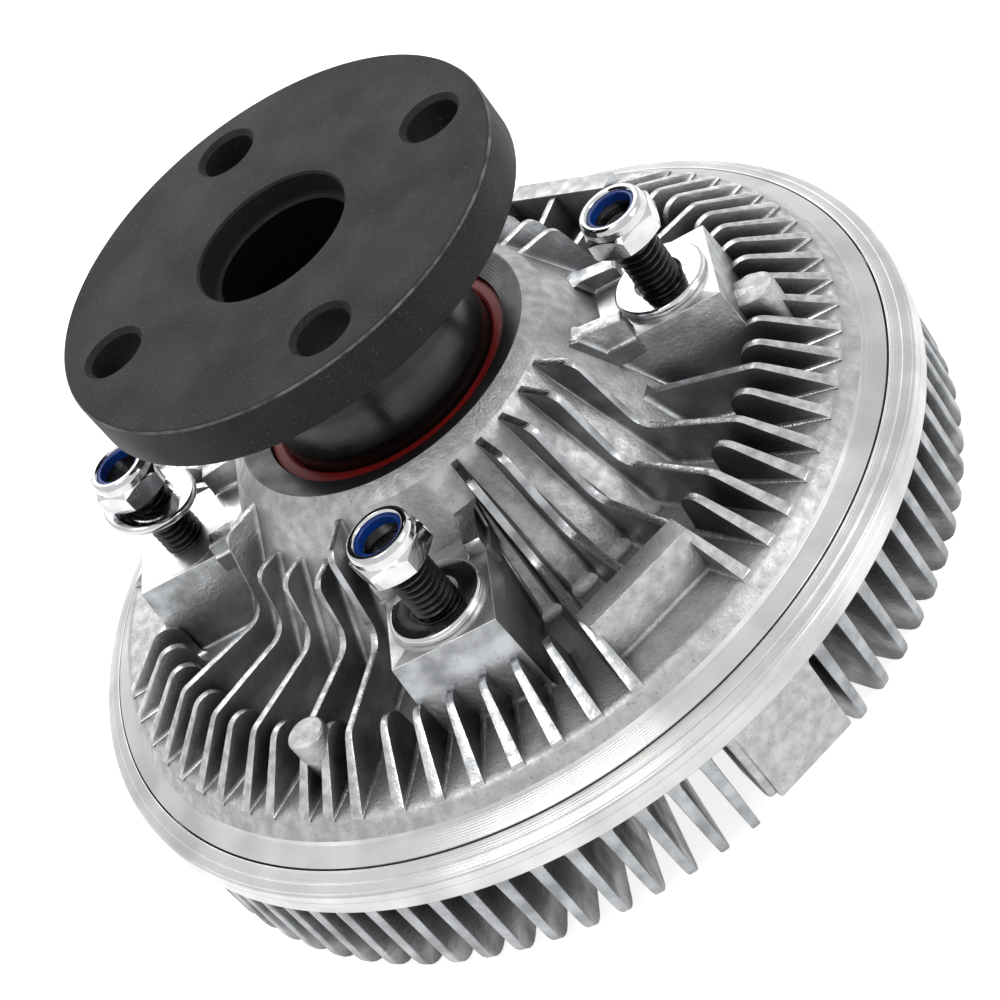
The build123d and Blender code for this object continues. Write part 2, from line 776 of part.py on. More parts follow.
# Front body: working chamber, oil reservoir and rim
seal_groove_inner_radius = cover_seal_radius - seat_gap
seal_groove_outer_radius = cover_seal_radius + cover_seal_width + seat_gap
valve_bore_radius = valve_shaft_radius + running_gap
valve_boss_z = reservoir_floor_z + valve_boss_height
valve_groove_radius = valve_bore_radius + 2 * valve_ring_section + seat_gap
valve_groove_z = bulge_face_z + valve_ring_groove_rise
valve_groove_top_z = valve_groove_z + 2 * valve_ring_section + 2 * end_gap
with BuildPart() as front_body:
    add(
        section(
            (rim_bore_radius, rim_top_z),
            (rim_bore_radius + rim_shoulder_width, rim_top_z - 0.9),
            (body_radius - rim_edge_chamfer, rim_top_z - rim_shoulder_drop),
            (body_radius, rim_top_z - rim_shoulder_drop - rim_edge_chamfer),
            (body_radius, front_fin_height),
            (plate_edge_radius, plate_under_z),
            (bulge_radius, plate_under_z),
            (bulge_radius, bulge_face_z, 2),
            (valve_bore_radius, bulge_face_z),
            (valve_bore_radius, valve_groove_z),
            (valve_groove_radius, valve_groove_z),
            (valve_groove_radius, valve_groove_top_z),
            (valve_bore_radius, valve_groove_top_z),
            (valve_bore_radius, valve_boss_z),
            (valve_boss_radius, valve_boss_z),
            (valve_boss_radius, reservoir_floor_z),
            (reservoir_radius, reservoir_floor_z, 2),
            (reservoir_radius, plate_z),
            (plate_radius + plate_gap, plate_z),
            (plate_radius + plate_gap, chamber_floor_z),
            (chamber_radius, chamber_floor_z),
            (chamber_radius, ledge_z),
            (seal_groove_inner_radius, ledge_z),
            (seal_groove_inner_radius, ledge_z - cover_seal_height),
            (seal_groove_outer_radius, ledge_z - cover_seal_height),
            (seal_groove_outer_radius, ledge_z),
            (rim_bore_radius, ledge_z),
        )
    )
    revolve(axis=Axis.Z)
    with round_z(*open_fin_angles):
        add(front_fin, clean=False)
    with round_z(*lug_fin_angles):
        add(lug_fin, clean=False)
    with round_z(*lug_angles):
        add(lug, clean=False)
    with BuildSketch(Plane.XY.offset(plate_z)):
        with PolarLocations(screw_circle_radius, screw_count, screw_phase):
            Circle(screw_radius + seat_gap)
    extrude(amount=-screw_length, mode=Mode.SUBTRACT)
front_body.part.label = "front_body"

# Ring that seals cover and body
with BuildPart() as cover_seal_ring:
    with BuildSketch(Plane.XY.offset(ledge_z - cover_seal_height)):
        Circle(cover_seal_radius + cover_seal_width)
        Circle(cover_seal_radius, mode=Mode.SUBTRACT)
    extrude(amount=cover_seal_height)
cover_seal_ring.part.label = "cover_seal_ring"

# Rotor: a disc whose rings run between the cover's rings
with BuildPart() as clutch_rotor:
    add(
        section(
            (rotor_recess_radius, rotor_under_z),
            (chamber_radius - rotor_edge_gap, rotor_under_z, 1),
            (chamber_radius - rotor_edge_gap, rotor_disc_z, 1),
            (rotor_hub_radius, rotor_disc_z, rotor_hub_rounding),
            (rotor_hub_radius, bearing_bottom_z - rotor_hub_relief),
            (shoulder_radius, bearing_bottom_z - rotor_hub_relief),
            (shoulder_radius, bearing_bottom_z),
            (rotor_seat_radius + seat_gap, bearing_bottom_z),
            (rotor_seat_radius + seat_gap, rotor_recess_z),
            (rotor_recess_radius, rotor_recess_z),
        )
    )
    rotor_rib_height = ceiling_z - rotor_rib_gap - rotor_disc_z
    with BuildSketch(Plane.XZ):
        with Locations(*[(radius, rotor_disc_z + rotor_rib_height / 2) for radius in rib_radii]):
            Rectangle(rib_width, rotor_rib_height)
    revolve(axis=Axis.Z)
    with BuildSketch(Plane.XY.offset(rotor_under_z)):
        with PolarLocations(flow_hole_circle_radius, flow_hole_count):
            Circle(flow_hole_radius)
    extrude(amount=rotor_disc_thickness, mode=Mode.SUBTRACT)
clutch_rotor.part.label = "clutch_rotor"

with BuildPart() as rotor_washer:
    with BuildSketch(Plane.XY.offset(rotor_washer_z)):
        Circle(rotor_washer_radius)
        Circle(thread_radius + seat_gap, mode=Mode.SUBTRACT)
    extrude(amount=rotor_washer_thickness)
rotor_washer.part.label = "rotor_washer"

rotor_hexagon = hexagon_nut(rotor_nut_flats, rotor_nut_corner_cut, rotor_nut_z, rotor_nut_height)
with BuildPart() as rotor_nut:
    add(rotor_hexagon)
    with BuildSketch(Plane.XY.offset(rotor_nut_z)):
        Circle(thread_radius + seat_gap)
    extrude(amount=rotor_nut_height, mode=Mode.SUBTRACT)
rotor_nut.part.label = "rotor_nut"

# Separator plate between reservoir and working chamber, and its countersunk screws
screw_head_height = screw_head_radius - screw_radius
with BuildPart() as separator_plate:
    with BuildSketch(Plane.XY.offset(plate_z)):
        Circle(plate_radius)
        for port_angle in port_angles:
            with PolarLocations(port_circle_radius, 1, port_angle):
                Circle(port_radius, mode=Mode.SUBTRACT)
    extrude(amount=plate_thickness)
    with BuildSketch(Plane.XY.offset(chamber_floor_z)):
        with PolarLocations(screw_circle_radius, screw_count, screw_phase):
            Circle(screw_head_radius + seat_gap)
    extrude(amount=-plate_thickness, taper=45, mode=Mode.SUBTRACT)
separator_plate.part.label = "separator_plate"

screw = turned(
    (0, chamber_floor_z),
    (screw_head_radius, chamber_floor_z),
    (screw_radius, chamber_floor_z - screw_head_height),
    (screw_radius, plate_z - screw_length + end_gap),
    (0, plate_z - screw_length + end_gap),
)
with BuildPart() as separator_screws:
    with PolarLocations(screw_circle_radius, screw_count, screw_phase):
        add(screw)
    with BuildSketch(Plane.XY.offset(chamber_floor_z)):
        with PolarLocations(screw_circle_radius, screw_count, screw_phase):
            Rectangle(2 * screw_head_radius, screw_slot_width)
    extrude(amount=-screw_slot_depth, mode=Mode.SUBTRACT)
separator_screws.part.label = "separator_screws"

# Valve shaft with a slot for the coil, and the arm that covers the ports
shaft_slot_width = coil_thickness + 2 * coil_slot_gap
with BuildPart() as valve_shaft:
    add(
        section(
            (0, coil_z + shaft_tip_rise),
            (valve_shaft_radius, coil_z + shaft_tip_rise),
            (valve_shaft_radius, valve_arm_z),
            (valve_neck_radius, valve_arm_z),
            (valve_neck_radius, valve_arm_top_z),
            (0, valve_arm_top_z),
        )
    )
    revolve(axis=Axis.Z)
    with BuildSketch(Plane.XY.offset(coil_z)):
        Rectangle(3 * valve_shaft_radius, shaft_slot_width)
    extrude(amount=coil_width + end_gap, mode=Mode.SUBTRACT)
valve_shaft.part.label = "valve_shaft"

with BuildPart() as valve_arm:
    with BuildSketch(Plane.XY.offset(valve_arm_z)):
        Circle(valve_arm_hub_radius)
        SlotOverall(2 * valve_arm_length, valve_arm_width)
        Circle(valve_neck_radius + seat_gap, mode=Mode.SUBTRACT)
    extrude(amount=valve_arm_thickness)
valve_arm.part.label = "valve_arm"

with BuildPart() as valve_shaft_o_ring:
    with BuildSketch(Plane.XZ):
        ring_place = (
            valve_bore_radius + valve_ring_section,
            valve_groove_z + end_gap + valve_ring_section,
        )
        with Locations(ring_place):
            Circle(valve_ring_section)
    revolve(axis=Axis.Z)
valve_shaft_o_ring.part.label = "valve_shaft_o_ring"

# Thermostatic coil: a strip wound in half circles about two centres
coil_end_radius = coil_inner_radius + coil_pitch / 2 * (coil_half_turns - 1)
coil_end_x = coil_end_radius + coil_pitch / 2
with BuildPart() as bimetal_coil:
    with BuildSketch(Plane.XY.offset(coil_z)):
        with BuildLine() as coil_path:
            Line((-valve_shaft_radius / 2, 0), (coil_inner_radius, 0))
            for half_turn in range(coil_half_turns):
                upper_half = half_turn % 2 == 0
                coil_centre_x = 0 if upper_half else coil_pitch / 2
                CenterArc(
                    (coil_centre_x, 0),
                    coil_inner_radius + coil_pitch / 2 * half_turn,
                    0 if upper_half else 180,
                    180,
                )
            Line((coil_end_x, 0), (coil_end_x + coil_tab_length, 0))
        trace(line_width=coil_thickness)
    extrude(amount=coil_width)
bimetal_coil.part.label = "bimetal_coil"

# Post that holds the coil's outer end in a slit
anchor_z = coil_z - anchor_below_coil
anchor_start_x = coil_end_x + coil_tab_length - anchor_length / 2
with BuildPart() as coil_anchor:
    with BuildSketch(Plane.XY.offset(anchor_z)):
        with Locations((anchor_start_x, 0)):
            Rectangle(anchor_length, anchor_width, align=(Align.MIN, Align.CENTER))
    extrude(amount=bulge_face_z - anchor_z)
    fillet(coil_anchor.edges().filter_by(Axis.Z), 1.5)
    with BuildSketch(Plane.XY.offset(anchor_z)):
        with Locations((anchor_start_x, 0)):
            Rectangle(2 * (coil_tab_length - anchor_start_x + coil_end_x + end_gap), shaft_slot_width)
    extrude(amount=coil_top_z + end_gap - anchor_z, mode=Mode.SUBTRACT)
coil_anchor.part.label = "coil_anchor"

# Fan studs: threaded into the bosses
with BuildPart() as fan_studs:
    with BuildSketch(Plane.XY.offset(boss_top_z - stud_depth)):
        with PolarLocations(stud_circle_radius, stud_count):
            Circle(stud_radius)
    extrude(amount=stud_depth + stud_top_rise)
    chamfer(fan_studs.edges().group_by(Axis.Z)[-1], 0.8)
fan_studs.part.label = "fan_studs"

# Thick round washers: one rides up its stud, the others lie on their bosses
washer = turned(
    (washer_bore_radius, boss_top_z),
    (washer_radius, boss_top_z, washer_rounding),
    (washer_radius, boss_top_z + washer_thickness, washer_rounding),
    (washer_bore_radius, boss_top_z + washer_thickness),
)
washer_lifts = [0.0] * stud_count
washer_lifts[raised_stud] = raised_washer_lift
with BuildPart() as stud_washers:
    for angle, lift in zip(stud_angles, washer_lifts):
        with PolarLocations(stud_circle_radius, 1, angle):
            with Locations((0, 0, lift)):
                add(washer)
stud_washers.part.label = "stud_washers"

# Lock nuts: a hexagon with a round collar whose lip is rolled in over the insert
nut_hex_top_z = nut_z + nut_hex_height
nut_top_z = nut_z + nut_height
insert_top_z = nut_top_z - nut_lip_thickness
nut_hexagon = hexagon_nut(nut_flats, nut_corner_cut, nut_z, nut_hex_height)
nut_collar = turned(
    (0, nut_hex_top_z - 1),
    (nut_collar_radius, nut_hex_top_z - 1),
    (nut_collar_radius, nut_top_z, 1.2),
    (0, nut_top_z),
)
nut_bore = turned(
    (0, nut_z),
    (stud_radius + seat_gap, nut_z),
    (stud_radius + seat_gap, nut_hex_top_z),
    (insert_radius + seat_gap, nut_hex_top_z),
    (insert_radius + seat_gap, insert_top_z),
    (nut_lip_radius, insert_top_z),
    (nut_lip_radius, nut_top_z),
    (0, nut_top_z),
)
nut_lifts = [0.0] * stud_count
nut_lifts[raised_stud] = raised_nut_lift
nut_places = [
    Location((0, 0, lift), (0, 0, angle)) * Location((stud_circle_radius, 0, 0))
    for angle, lift in zip(stud_angles, nut_lifts)
]
with BuildPart() as lock_nuts:
    with Locations(*nut_places):
        add(nut_hexagon)
        add(nut_collar)
        add(nut_bore, mode=Mode.SUBTRACT)
lock_nuts.part.label = "lock_nuts"

insert = turned(
    (insert_bore_radius, nut_hex_top_z),
    (insert_radius, nut_hex_top_z),
    (insert_radius, insert_top_z),
    (insert_bore_radius, insert_top_z),
)
with BuildPart() as nut_inserts:
    with Locations(*nut_places):
        add(insert)
nut_inserts.part.label = "nut_inserts"

os.makedirs("parts", exist_ok=True)
export_step(flange_shaft.part, "parts/flange_shaft.step")
export_step(bearing_inner_ring.part, "parts/bearing_inner_ring.step")
export_step(bearing_outer_ring.part, "parts/bearing_outer_ring.step")
export_step(bearing_balls.part, "parts/bearing_balls.step")
export_step(bearing_cage.part, "parts/bearing_cage.step")
export_step(bearing_seal_upper.part, "parts/bearing_seal_upper.step")
export_step(bearing_seal_lower.part, "parts/bearing_seal_lower.step")
export_step(bearing_snap_ring.part, "parts/bearing_snap_ring.step")
export_step(neck_seal.part, "parts/neck_seal.step")
export_step(rear_cover.part, "parts/rear_cover.step")
export_step(cover_seal_ring.part, "parts/cover_seal_ring.step")
export_step(front_body.part, "parts/front_body.step")
export_step(clutch_rotor.part, "parts/clutch_rotor.step")
export_step(rotor_washer.part, "parts/rotor_washer.step")
export_step(rotor_nut.part, "parts/rotor_nut.step")
export_step(separator_plate.part, "parts/separator_plate.step")
export_step(separator_screws.part, "parts/separator_screws.step")
export_step(valve_shaft.part, "parts/valve_shaft.step")
export_step(valve_arm.part, "parts/valve_arm.step")
export_step(valve_shaft_o_ring.part, "parts/valve_shaft_o_ring.step")
export_step(bimetal_coil.part, "parts/bimetal_coil.step")
export_step(coil_anchor.part, "parts/coil_anchor.step")
export_step(fan_studs.part, "parts/fan_studs.step")
export_step(stud_washers.part, "parts/stud_washers.step")
export_step(lock_nuts.part, "parts/lock_nuts.step")
export_step(nut_inserts.part, "parts/nut_inserts.step")
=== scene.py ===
import json
import logging
import math
from collections.abc import Callable, Iterable, Sequence
from dataclasses import dataclass
from enum import Enum
from typing import Self

import bmesh
import bpy
from bmesh.types import BMEdge, BMesh, BMVert
from bpy.types import Material, Node, NodeTree, NodeSocket, Object
from mathutils import Matrix, Vector


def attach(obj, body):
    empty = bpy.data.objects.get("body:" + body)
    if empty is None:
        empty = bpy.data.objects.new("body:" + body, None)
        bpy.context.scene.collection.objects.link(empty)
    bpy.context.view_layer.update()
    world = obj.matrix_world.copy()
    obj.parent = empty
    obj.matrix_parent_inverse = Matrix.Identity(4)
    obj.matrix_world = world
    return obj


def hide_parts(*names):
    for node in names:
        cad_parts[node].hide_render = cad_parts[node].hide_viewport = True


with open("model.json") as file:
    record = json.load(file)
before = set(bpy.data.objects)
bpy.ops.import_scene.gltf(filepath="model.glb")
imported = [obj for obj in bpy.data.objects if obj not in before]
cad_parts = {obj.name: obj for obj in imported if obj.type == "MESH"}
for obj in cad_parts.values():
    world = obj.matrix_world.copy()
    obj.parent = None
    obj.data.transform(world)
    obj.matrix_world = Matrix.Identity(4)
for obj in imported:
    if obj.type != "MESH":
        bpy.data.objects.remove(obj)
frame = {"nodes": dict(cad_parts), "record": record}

log = logging.getLogger("fan_clutch")

MM = 0.001
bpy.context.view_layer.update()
Corner = tuple[float, ...]
Link = tuple[Node, str | int]

# The fan studs, which the cover and the fasteners share.
STUD_ANGLES = (0.0, 90.0, 180.0, 270.0)
STUD_CIRCLE = 58.5
BOSS_TOP = 60.5
# Limits that tell the parts of a shape apart, in millimetres and degrees.
SKIN = 0.05
CLEAR_HEIGHT = 0.3
END_DEPTH = 3.0
NOSE_DEPTH = 0.9
UPRIGHT_LENGTH = 5.0
OFF_MIDDLE = 0.1
LEAST_REACH = 0.1
CORNER_DEGREES = 50.0
# Heights at which a rib's foot is divided, as shares of its fillet.
FOOT_SHARES = (0.0, 0.12, 0.3, 0.58, 1.0)
# Divisions of a large rounding of a rib, and of a thread's turn.
RIB_SEGMENTS = 6
THREAD_STEPS = 48
# Radius of a thread (0 root, 1 crest) and share of the pitch at the corners of its profile.
THREAD_PROFILE = ((0, 0.0), (0, 0.12), (1, 0.44), (1, 0.58), (0, 0.9))
# Share of open surroundings at which the painted shade in hollows is full and at which it is
# gone.
PAINTED_SHADE_RANGE = (0.15, 0.8)
# Rings of Blender's wave texture come every tenth of pi at a scale of one.
WAVE_PERIOD = math.pi / 10.0


class Region(Enum):
    """Material slots of the two castings."""

    CAST = 0
    TURNED = 1
    ROUGH = 2
    MILLED = 3
    FACED = 4
    # Rubbed fin crests with a painted highlight, and the painted highlight on foot fillets and
    # pad edges.
    RUBBED_AND_PAINTED_HIGHLIGHT = 5


# Modelling helpers. All shapes are built in millimetres and turned to metres at the end.


def polar(place: Vector) -> tuple[float, float]:
    """Radius of a place about the Z axis, and its angle in degrees."""
    return math.hypot(place.x, place.y), math.degrees(math.atan2(place.y, place.x))


def within(value: float, band: tuple[float, float]) -> bool:
    """Whether a value lies inside a band."""
    return band[0] < value < band[1]


def z_turn(degrees: float, size: int = 4) -> Matrix:
    """A turn about the Z axis."""
    return Matrix.Rotation(math.radians(degrees), size, "Z")


def link_new(name: str, data: bpy.types.ID) -> Object:
    """A new object, linked to the scene."""
    made = bpy.data.objects.new(name, data)
    bpy.context.collection.objects.link(made)
    return made


def rounded(corners: Sequence[Corner], segments: int = 4, closed: bool = True) -> list[Vector]:
    """Points of an outline on the XZ plane, with its roundings as short arcs.

    Args:
        corners: (radius, height) or (radius, height, rounding) of each corner.
        segments: Number of chords in a rounding.
        closed: Whether the last corner joins the first.

    Returns:
        The outline's points in order.
    """
    places = [Vector((corner[0], 0.0, corner[1])) for corner in corners]
    points: list[Vector] = []
    for index, (place, corner) in enumerate(zip(places, corners)):
        at_end = not closed and index in (0, len(corners) - 1)
        if len(corner) < 3 or not corner[2] or at_end:
            points.append(place)
            continue
        before = (places[index - 1] - place).normalized()
        after = (places[(index + 1) % len(places)] - place).normalized()
        half = before.angle(after) / 2
        centre = place + (before + after).normalized() * corner[2] / math.sin(half)
        start = place + before * corner[2] / math.tan(half) - centre
        end = place + after * corner[2] / math.tan(half) - centre
        for step in range(segments + 1):
            points.append(centre + start.slerp(end, step / segments) * corner[2])
    return points


def line(
    points: Iterable[Sequence[float]], closed: bool = False
) -> tuple[BMesh, list[BMVert], list[BMEdge]]:
    """A line through points as a new shape, with its vertices and edges."""
    shape = bmesh.new()
    verts = [shape.verts.new(point) for point in points]
    ends = range(0 if closed else 1, len(verts))
    edges = [shape.edges.new((verts[end - 1], verts[end])) for end in ends]
    return shape, verts, edges


def sweep(
    points: Iterable[Sequence[float]], closed: bool, steps: int, rise: float, joint: float
) -> BMesh:
    """A line turned once about the Z axis while it climbs, joined where ends meet."""
    shape, verts, edges = line(points, closed)
    bmesh.ops.spin(
        shape, geom=verts + edges, cent=(0, 0, 0), axis=(0, 0, 1), dvec=(0, 0, rise / steps),
        angle=math.tau, steps=steps, use_merge=not rise,
    )
    bmesh.ops.remove_doubles(shape, verts=shape.verts[:], dist=joint)
    return shape


def lathe(
    corners: Sequence[Corner], steps: int = 256, segments: int = 4, closed: bool = True
) -> BMesh:
    """A half section turned about the Z axis.

    Args:
        corners: The section's corners, as for rounded().
        steps: Divisions round the axis.
        segments: Chords in a rounding.
        closed: False for a section that starts and ends on the axis.

    Returns:
        The closed shape.
    """
    shape = sweep(rounded(corners, segments, closed), closed, steps, rise=0.0, joint=1e-4)
    bmesh.ops.recalc_face_normals(shape, faces=shape.faces[:])
    return shape


def thread(root: float, crest: float, pitch: float, low: float, high: float) -> BMesh:
    """A right-hand screw thread on the Z axis.

    Args:
        root: Radius at the bottom of the thread.
        crest: Radius at its crest.
        pitch: Rise of one turn.
        low: Height of its lower end.
        high: Height of its upper end.

    Returns:
        The thread, cut flat at both ends.
    """
    turns = math.ceil((high - low) / pitch) + 2
    points = [
        (crest if at_crest else root, 0.0, low + pitch * (turn - 1 + share))
        for turn in range(turns)
        for at_crest, share in THREAD_PROFILE
    ]
    shape = sweep(points, False, THREAD_STEPS, rise=pitch, joint=1e-3)
    for height, normal in ((low, -1), (high, 1)):
        cut = bmesh.ops.bisect_plane(
            shape, geom=shape.verts[:] + shape.edges[:] + shape.faces[:], plane_co=(0, 0, height),
            plane_no=(0, 0, normal), clear_outer=True,
        )
        rim = [part for part in cut["geom_cut"] if isinstance(part, BMEdge)]
        bmesh.ops.edgenet_fill(shape, edges=rim)
    bmesh.ops.recalc_face_normals(shape, faces=shape.faces[:])
    return shape


def draw_out(shape: BMesh, extrusion: dict[str, list], move: Sequence[float]) -> None:
    """Moves the new side of an extrusion and turns the faces outward."""
    moved = [part for part in extrusion["geom"] if isinstance(part, BMVert)]
    bmesh.ops.translate(shape, vec=move, verts=moved)
    bmesh.ops.recalc_face_normals(shape, faces=shape.faces[:])


def plate(points: Sequence[Vector], depth: float) -> BMesh:
    """An outline on the XZ plane thickened evenly to both sides of it."""
    shape = bmesh.new()
    side = Vector((0, -depth / 2, 0))
    face = shape.faces.new([shape.verts.new(point + side) for point in points])
    draw_out(shape, bmesh.ops.extrude_face_region(shape, geom=[face]), (0, depth, 0))
    return shape


def soften(
    shape: BMesh, edges: Iterable[BMEdge], offset: float, segments: int = 3
) -> None:
    """Rounds edges of a shape."""
    bmesh.ops.bevel(
        shape, geom=list(edges), offset=offset, offset_type="OFFSET", affect="EDGES",
        segments=segments, profile=0.5, material=-1, clamp_overlap=True,
    )


def sharp_edges(shape: BMesh, degrees: float) -> list[BMEdge]:
    """Edges between two faces that meet at more than an angle."""
    limit = math.radians(degrees)
    return [e for e in shape.edges if e.is_manifold and e.calc_face_angle(0.0) > limit]


def boolean(shape: BMesh, tool: BMesh, operation: str) -> BMesh:
    """One closed shape cut by, or kept within, another, in an exact boolean."""
    objects = []
    for part in (shape, tool):
        mesh = bpy.data.meshes.new("boolean")
        part.to_mesh(mesh)
        part.free()
        objects.append(link_new("boolean", mesh))
    modifier = objects[0].modifiers.new("boolean", "BOOLEAN")
    modifier.operation = operation
    modifier.solver = "EXACT"
    modifier.object = objects[1]
    result = bmesh.new()
    result.from_object(objects[0], bpy.context.evaluated_depsgraph_get())
    for part in objects:
        mesh = part.data
        bpy.data.objects.remove(part)
        bpy.data.meshes.remove(mesh)
    return result


class Shell:
    """Collects the shapes of one piece and finishes them as one object."""

    def __init__(self) -> None:
        """Starts with nothing in it."""
        self.mesh = bpy.data.meshes.new("shell")

    def add(
        self,
        shape: BMesh,
        turns: Iterable[float] = (0.0,),
        offset: Sequence[float] = (0.0, 0.0, 0.0),
    ) -> Self:
        """Adds copies of a shape, and frees it.

        Args:
            shape: The shape, on or beside the Z axis.
            turns: Angle about the Z axis of each copy, in degrees.
            offset: Move before the turn.

        Returns:
            The shell itself.
        """
        source = bpy.data.meshes.new("source")
        shape.to_mesh(source)
        shape.free()
        whole = bmesh.new()
        whole.from_mesh(self.mesh)
        for turn in turns:
            copy = source.copy()
            copy.transform(z_turn(turn) @ Matrix.Translation(offset))
            whole.from_mesh(copy)
            bpy.data.meshes.remove(copy)
        whole.to_mesh(self.mesh)
        whole.free()
        bpy.data.meshes.remove(source)
        return self

    def take(self) -> BMesh:
        """Gives what was collected as one shape, and ends the shell."""
        shape = bmesh.new()
        shape.from_mesh(self.mesh)
        bpy.data.meshes.remove(self.mesh)
        return shape

    def finish(
        self,
        name: str,
        node: str,
        materials: Sequence[Material],
        region: Callable[[Vector, Vector], Region] | None = None,
        crease: float = 32.0,
    ) -> Object:
        """Turns the collected shapes into a piece of the scene.

        Args:
            name: The piece's name.
            node: The CAD node that it stands for, whose body it takes; the node is hidden.
            materials: Its material slots.
            region: Gives the slot of a face from its centre and normal, in millimetres.
            crease: Angle above which an edge stays sharp, in degrees.

        Returns:
            The finished object, at the origin.
        """
        shape = self.take()
        for face in shape.faces:
            face.smooth = True
            if region:
                face.material_index = region(face.calc_center_median(), face.normal).value
        for edge in sharp_edges(shape, crease):
            edge.smooth = False
        bmesh.ops.scale(shape, vec=(MM, MM, MM), verts=shape.verts[:])
        mesh = bpy.data.meshes.new(name)
        shape.to_mesh(mesh)
        shape.free()
        for material in materials:
            mesh.materials.append(material)
        piece = link_new(name, mesh)
        record = frame["record"]
        bodies = record["behaviour"]["bodies"]
        body = next(body for body, nodes in bodies.items() if node in nodes)
        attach(piece, body)
        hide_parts(node)
        log.info("%s: %d faces for %s", name, len(mesh.polygons), node)
        return piece


@dataclass(frozen=True)
class Wall:
    """A flat or cone of the casting that ribs stand on, as a point and an outward normal."""

    point: tuple[float, float]
    normal: tuple[float, float]

    def height(self, place: Vector) -> float:
        """Distance of a place outside the wall."""
        beside, above = polar(place)[0] - self.point[0], place.z - self.point[1]
        return beside * self.normal[0] + above * self.normal[1]

    def sag(self, half_width: float) -> float:
        """How far the round wall falls back from a flat one at a distance beside the middle."""
        radius = max(self.point[0], 2 * half_width)
        return (radius - math.sqrt(radius**2 - half_width**2)) * abs(self.normal[0])


@dataclass(frozen=True)
class Rib:
    """A cast rib, boss or pad along +X, with draft, rounded edges and a filleted foot.

    Attributes:
        combine: Min for a casting that lies behind either wall, max for one behind both.
        draft_wall: Wall from which the draft starts, if not from that distance.
        free_nose: X of an inner end that stands free.
        free_end: X of an outer end that stands free.
        fade: X where the fillet starts, is full, is last full and ends.
    """

    outline: Sequence[Corner]
    width: float
    walls: Sequence[Wall]
    draft: float
    edge_rounding: float
    foot_rounding: float
    combine: Callable[..., float] = min
    draft_wall: Wall | None = None
    draft_rise: float = math.inf
    end_rounding: float = 0.0
    free_nose: float | None = None
    free_end: float | None = None
    fade: tuple[float, float, float, float] | None = None

    def height(self, place: Vector) -> float:
        """Distance of a place outside the casting that the rib stands on."""
        return self.combine(wall.height(place) for wall in self.walls)

    def outside(self, edge: BMEdge) -> bool:
        """Whether an edge stands clear of the casting."""
        return self.height((edge.verts[0].co + edge.verts[1].co) / 2) > CLEAR_HEIGHT

    def build(self) -> BMesh:
        """Makes the rib.

        Returns:
            The closed shape, whose buried side lies inside the casting's wall.
        """
        shape = plate(rounded(self.outline, RIB_SEGMENTS), self.width)
        if self.end_rounding:
            end = max(vert.co.x for vert in shape.verts) - END_DEPTH
            upright = []
            for edge in sharp_edges(shape, CORNER_DEGREES):
                first, last = (vert.co for vert in edge.verts)
                tall = abs(first.y) > OFF_MIDDLE and abs(first.z - last.z) > UPRIGHT_LENGTH
                if tall and min(first.x, last.x) > end:
                    upright.append(edge)
            soften(shape, upright, self.end_rounding, RIB_SEGMENTS)
        free = [edge for edge in sharp_edges(shape, CORNER_DEGREES) if self.outside(edge)]
        soften(shape, free, self.edge_rounding)
        for wall in self.walls:
            (x, z), (across, up) = wall.point, wall.normal
            for share in FOOT_SHARES:
                lift = self.foot_rounding * share - wall.sag(self.width / 2)
                bmesh.ops.bisect_plane(
                    shape, geom=shape.verts[:] + shape.edges[:] + shape.faces[:],
                    plane_co=(x + across * lift, 0, z + up * lift), plane_no=(across, 0, up),
                )
        self._draft_and_fillet(shape)
        return shape

    def _draft_and_fillet(self, shape: BMesh) -> None:
        """Thins the rib away from its wall and spreads its foot to meet the wall smoothly."""
        half = self.width / 2
        slope = math.tan(math.radians(self.draft))
        for vert in shape.verts:
            height = max(0.0, self.height(vert.co))
            rise = max(0.0, self.draft_wall.height(vert.co)) if self.draft_wall else height
            spread = 0.0
            if height < self.foot_rounding:
                rest = self.foot_rounding - height
                spread = self.foot_rounding - math.sqrt(self.foot_rounding**2 - rest**2)
            if self.fade:
                bare, full, last_full, end = self.fade
                inner = (vert.co.x - bare) / (full - bare)
                outer = (end - vert.co.x) / (end - last_full)
                spread *= min(1.0, max(0.0, min(inner, outer)))
            vert.co.y *= (half - slope * min(rise, self.draft_rise) + spread) / half
            if self.free_nose is not None and vert.co.x < self.free_nose + NOSE_DEPTH:
                vert.co.x -= spread
            if self.free_end is not None and vert.co.x > self.free_end - self.end_rounding:
                reach = max(self.end_rounding, LEAST_REACH)
                vert.co.x += spread * min(1.0, (vert.co.x - self.free_end + reach) / reach)


# Materials. Colours are sRGB hex values and pattern sizes are real millimetres.


def linear(hex_colour: str) -> tuple[float, float, float, float]:
    """An sRGB hex colour as linear red, green, blue and alpha."""
    channels = [int(hex_colour[index : index + 2], 16) / 255 for index in (0, 2, 4)]
    curve = [c / 12.92 if c <= 0.04045 else ((c + 0.055) / 1.055) ** 2.4 for c in channels]
    return (curve[0], curve[1], curve[2], 1.0)


def connect(tree: NodeTree, link: Link, target: NodeSocket) -> None:
    """Joins a node's output to an input."""
    tree.links.new(link[0].outputs[link[1]], target)


def new_material(name: str) -> tuple[Material, NodeTree, Node]:
    """A new material with its tree and its Principled shader."""
    made = bpy.data.materials.new(name)
    made.use_nodes = True
    return made, made.node_tree, made.node_tree.nodes["Principled BSDF"]


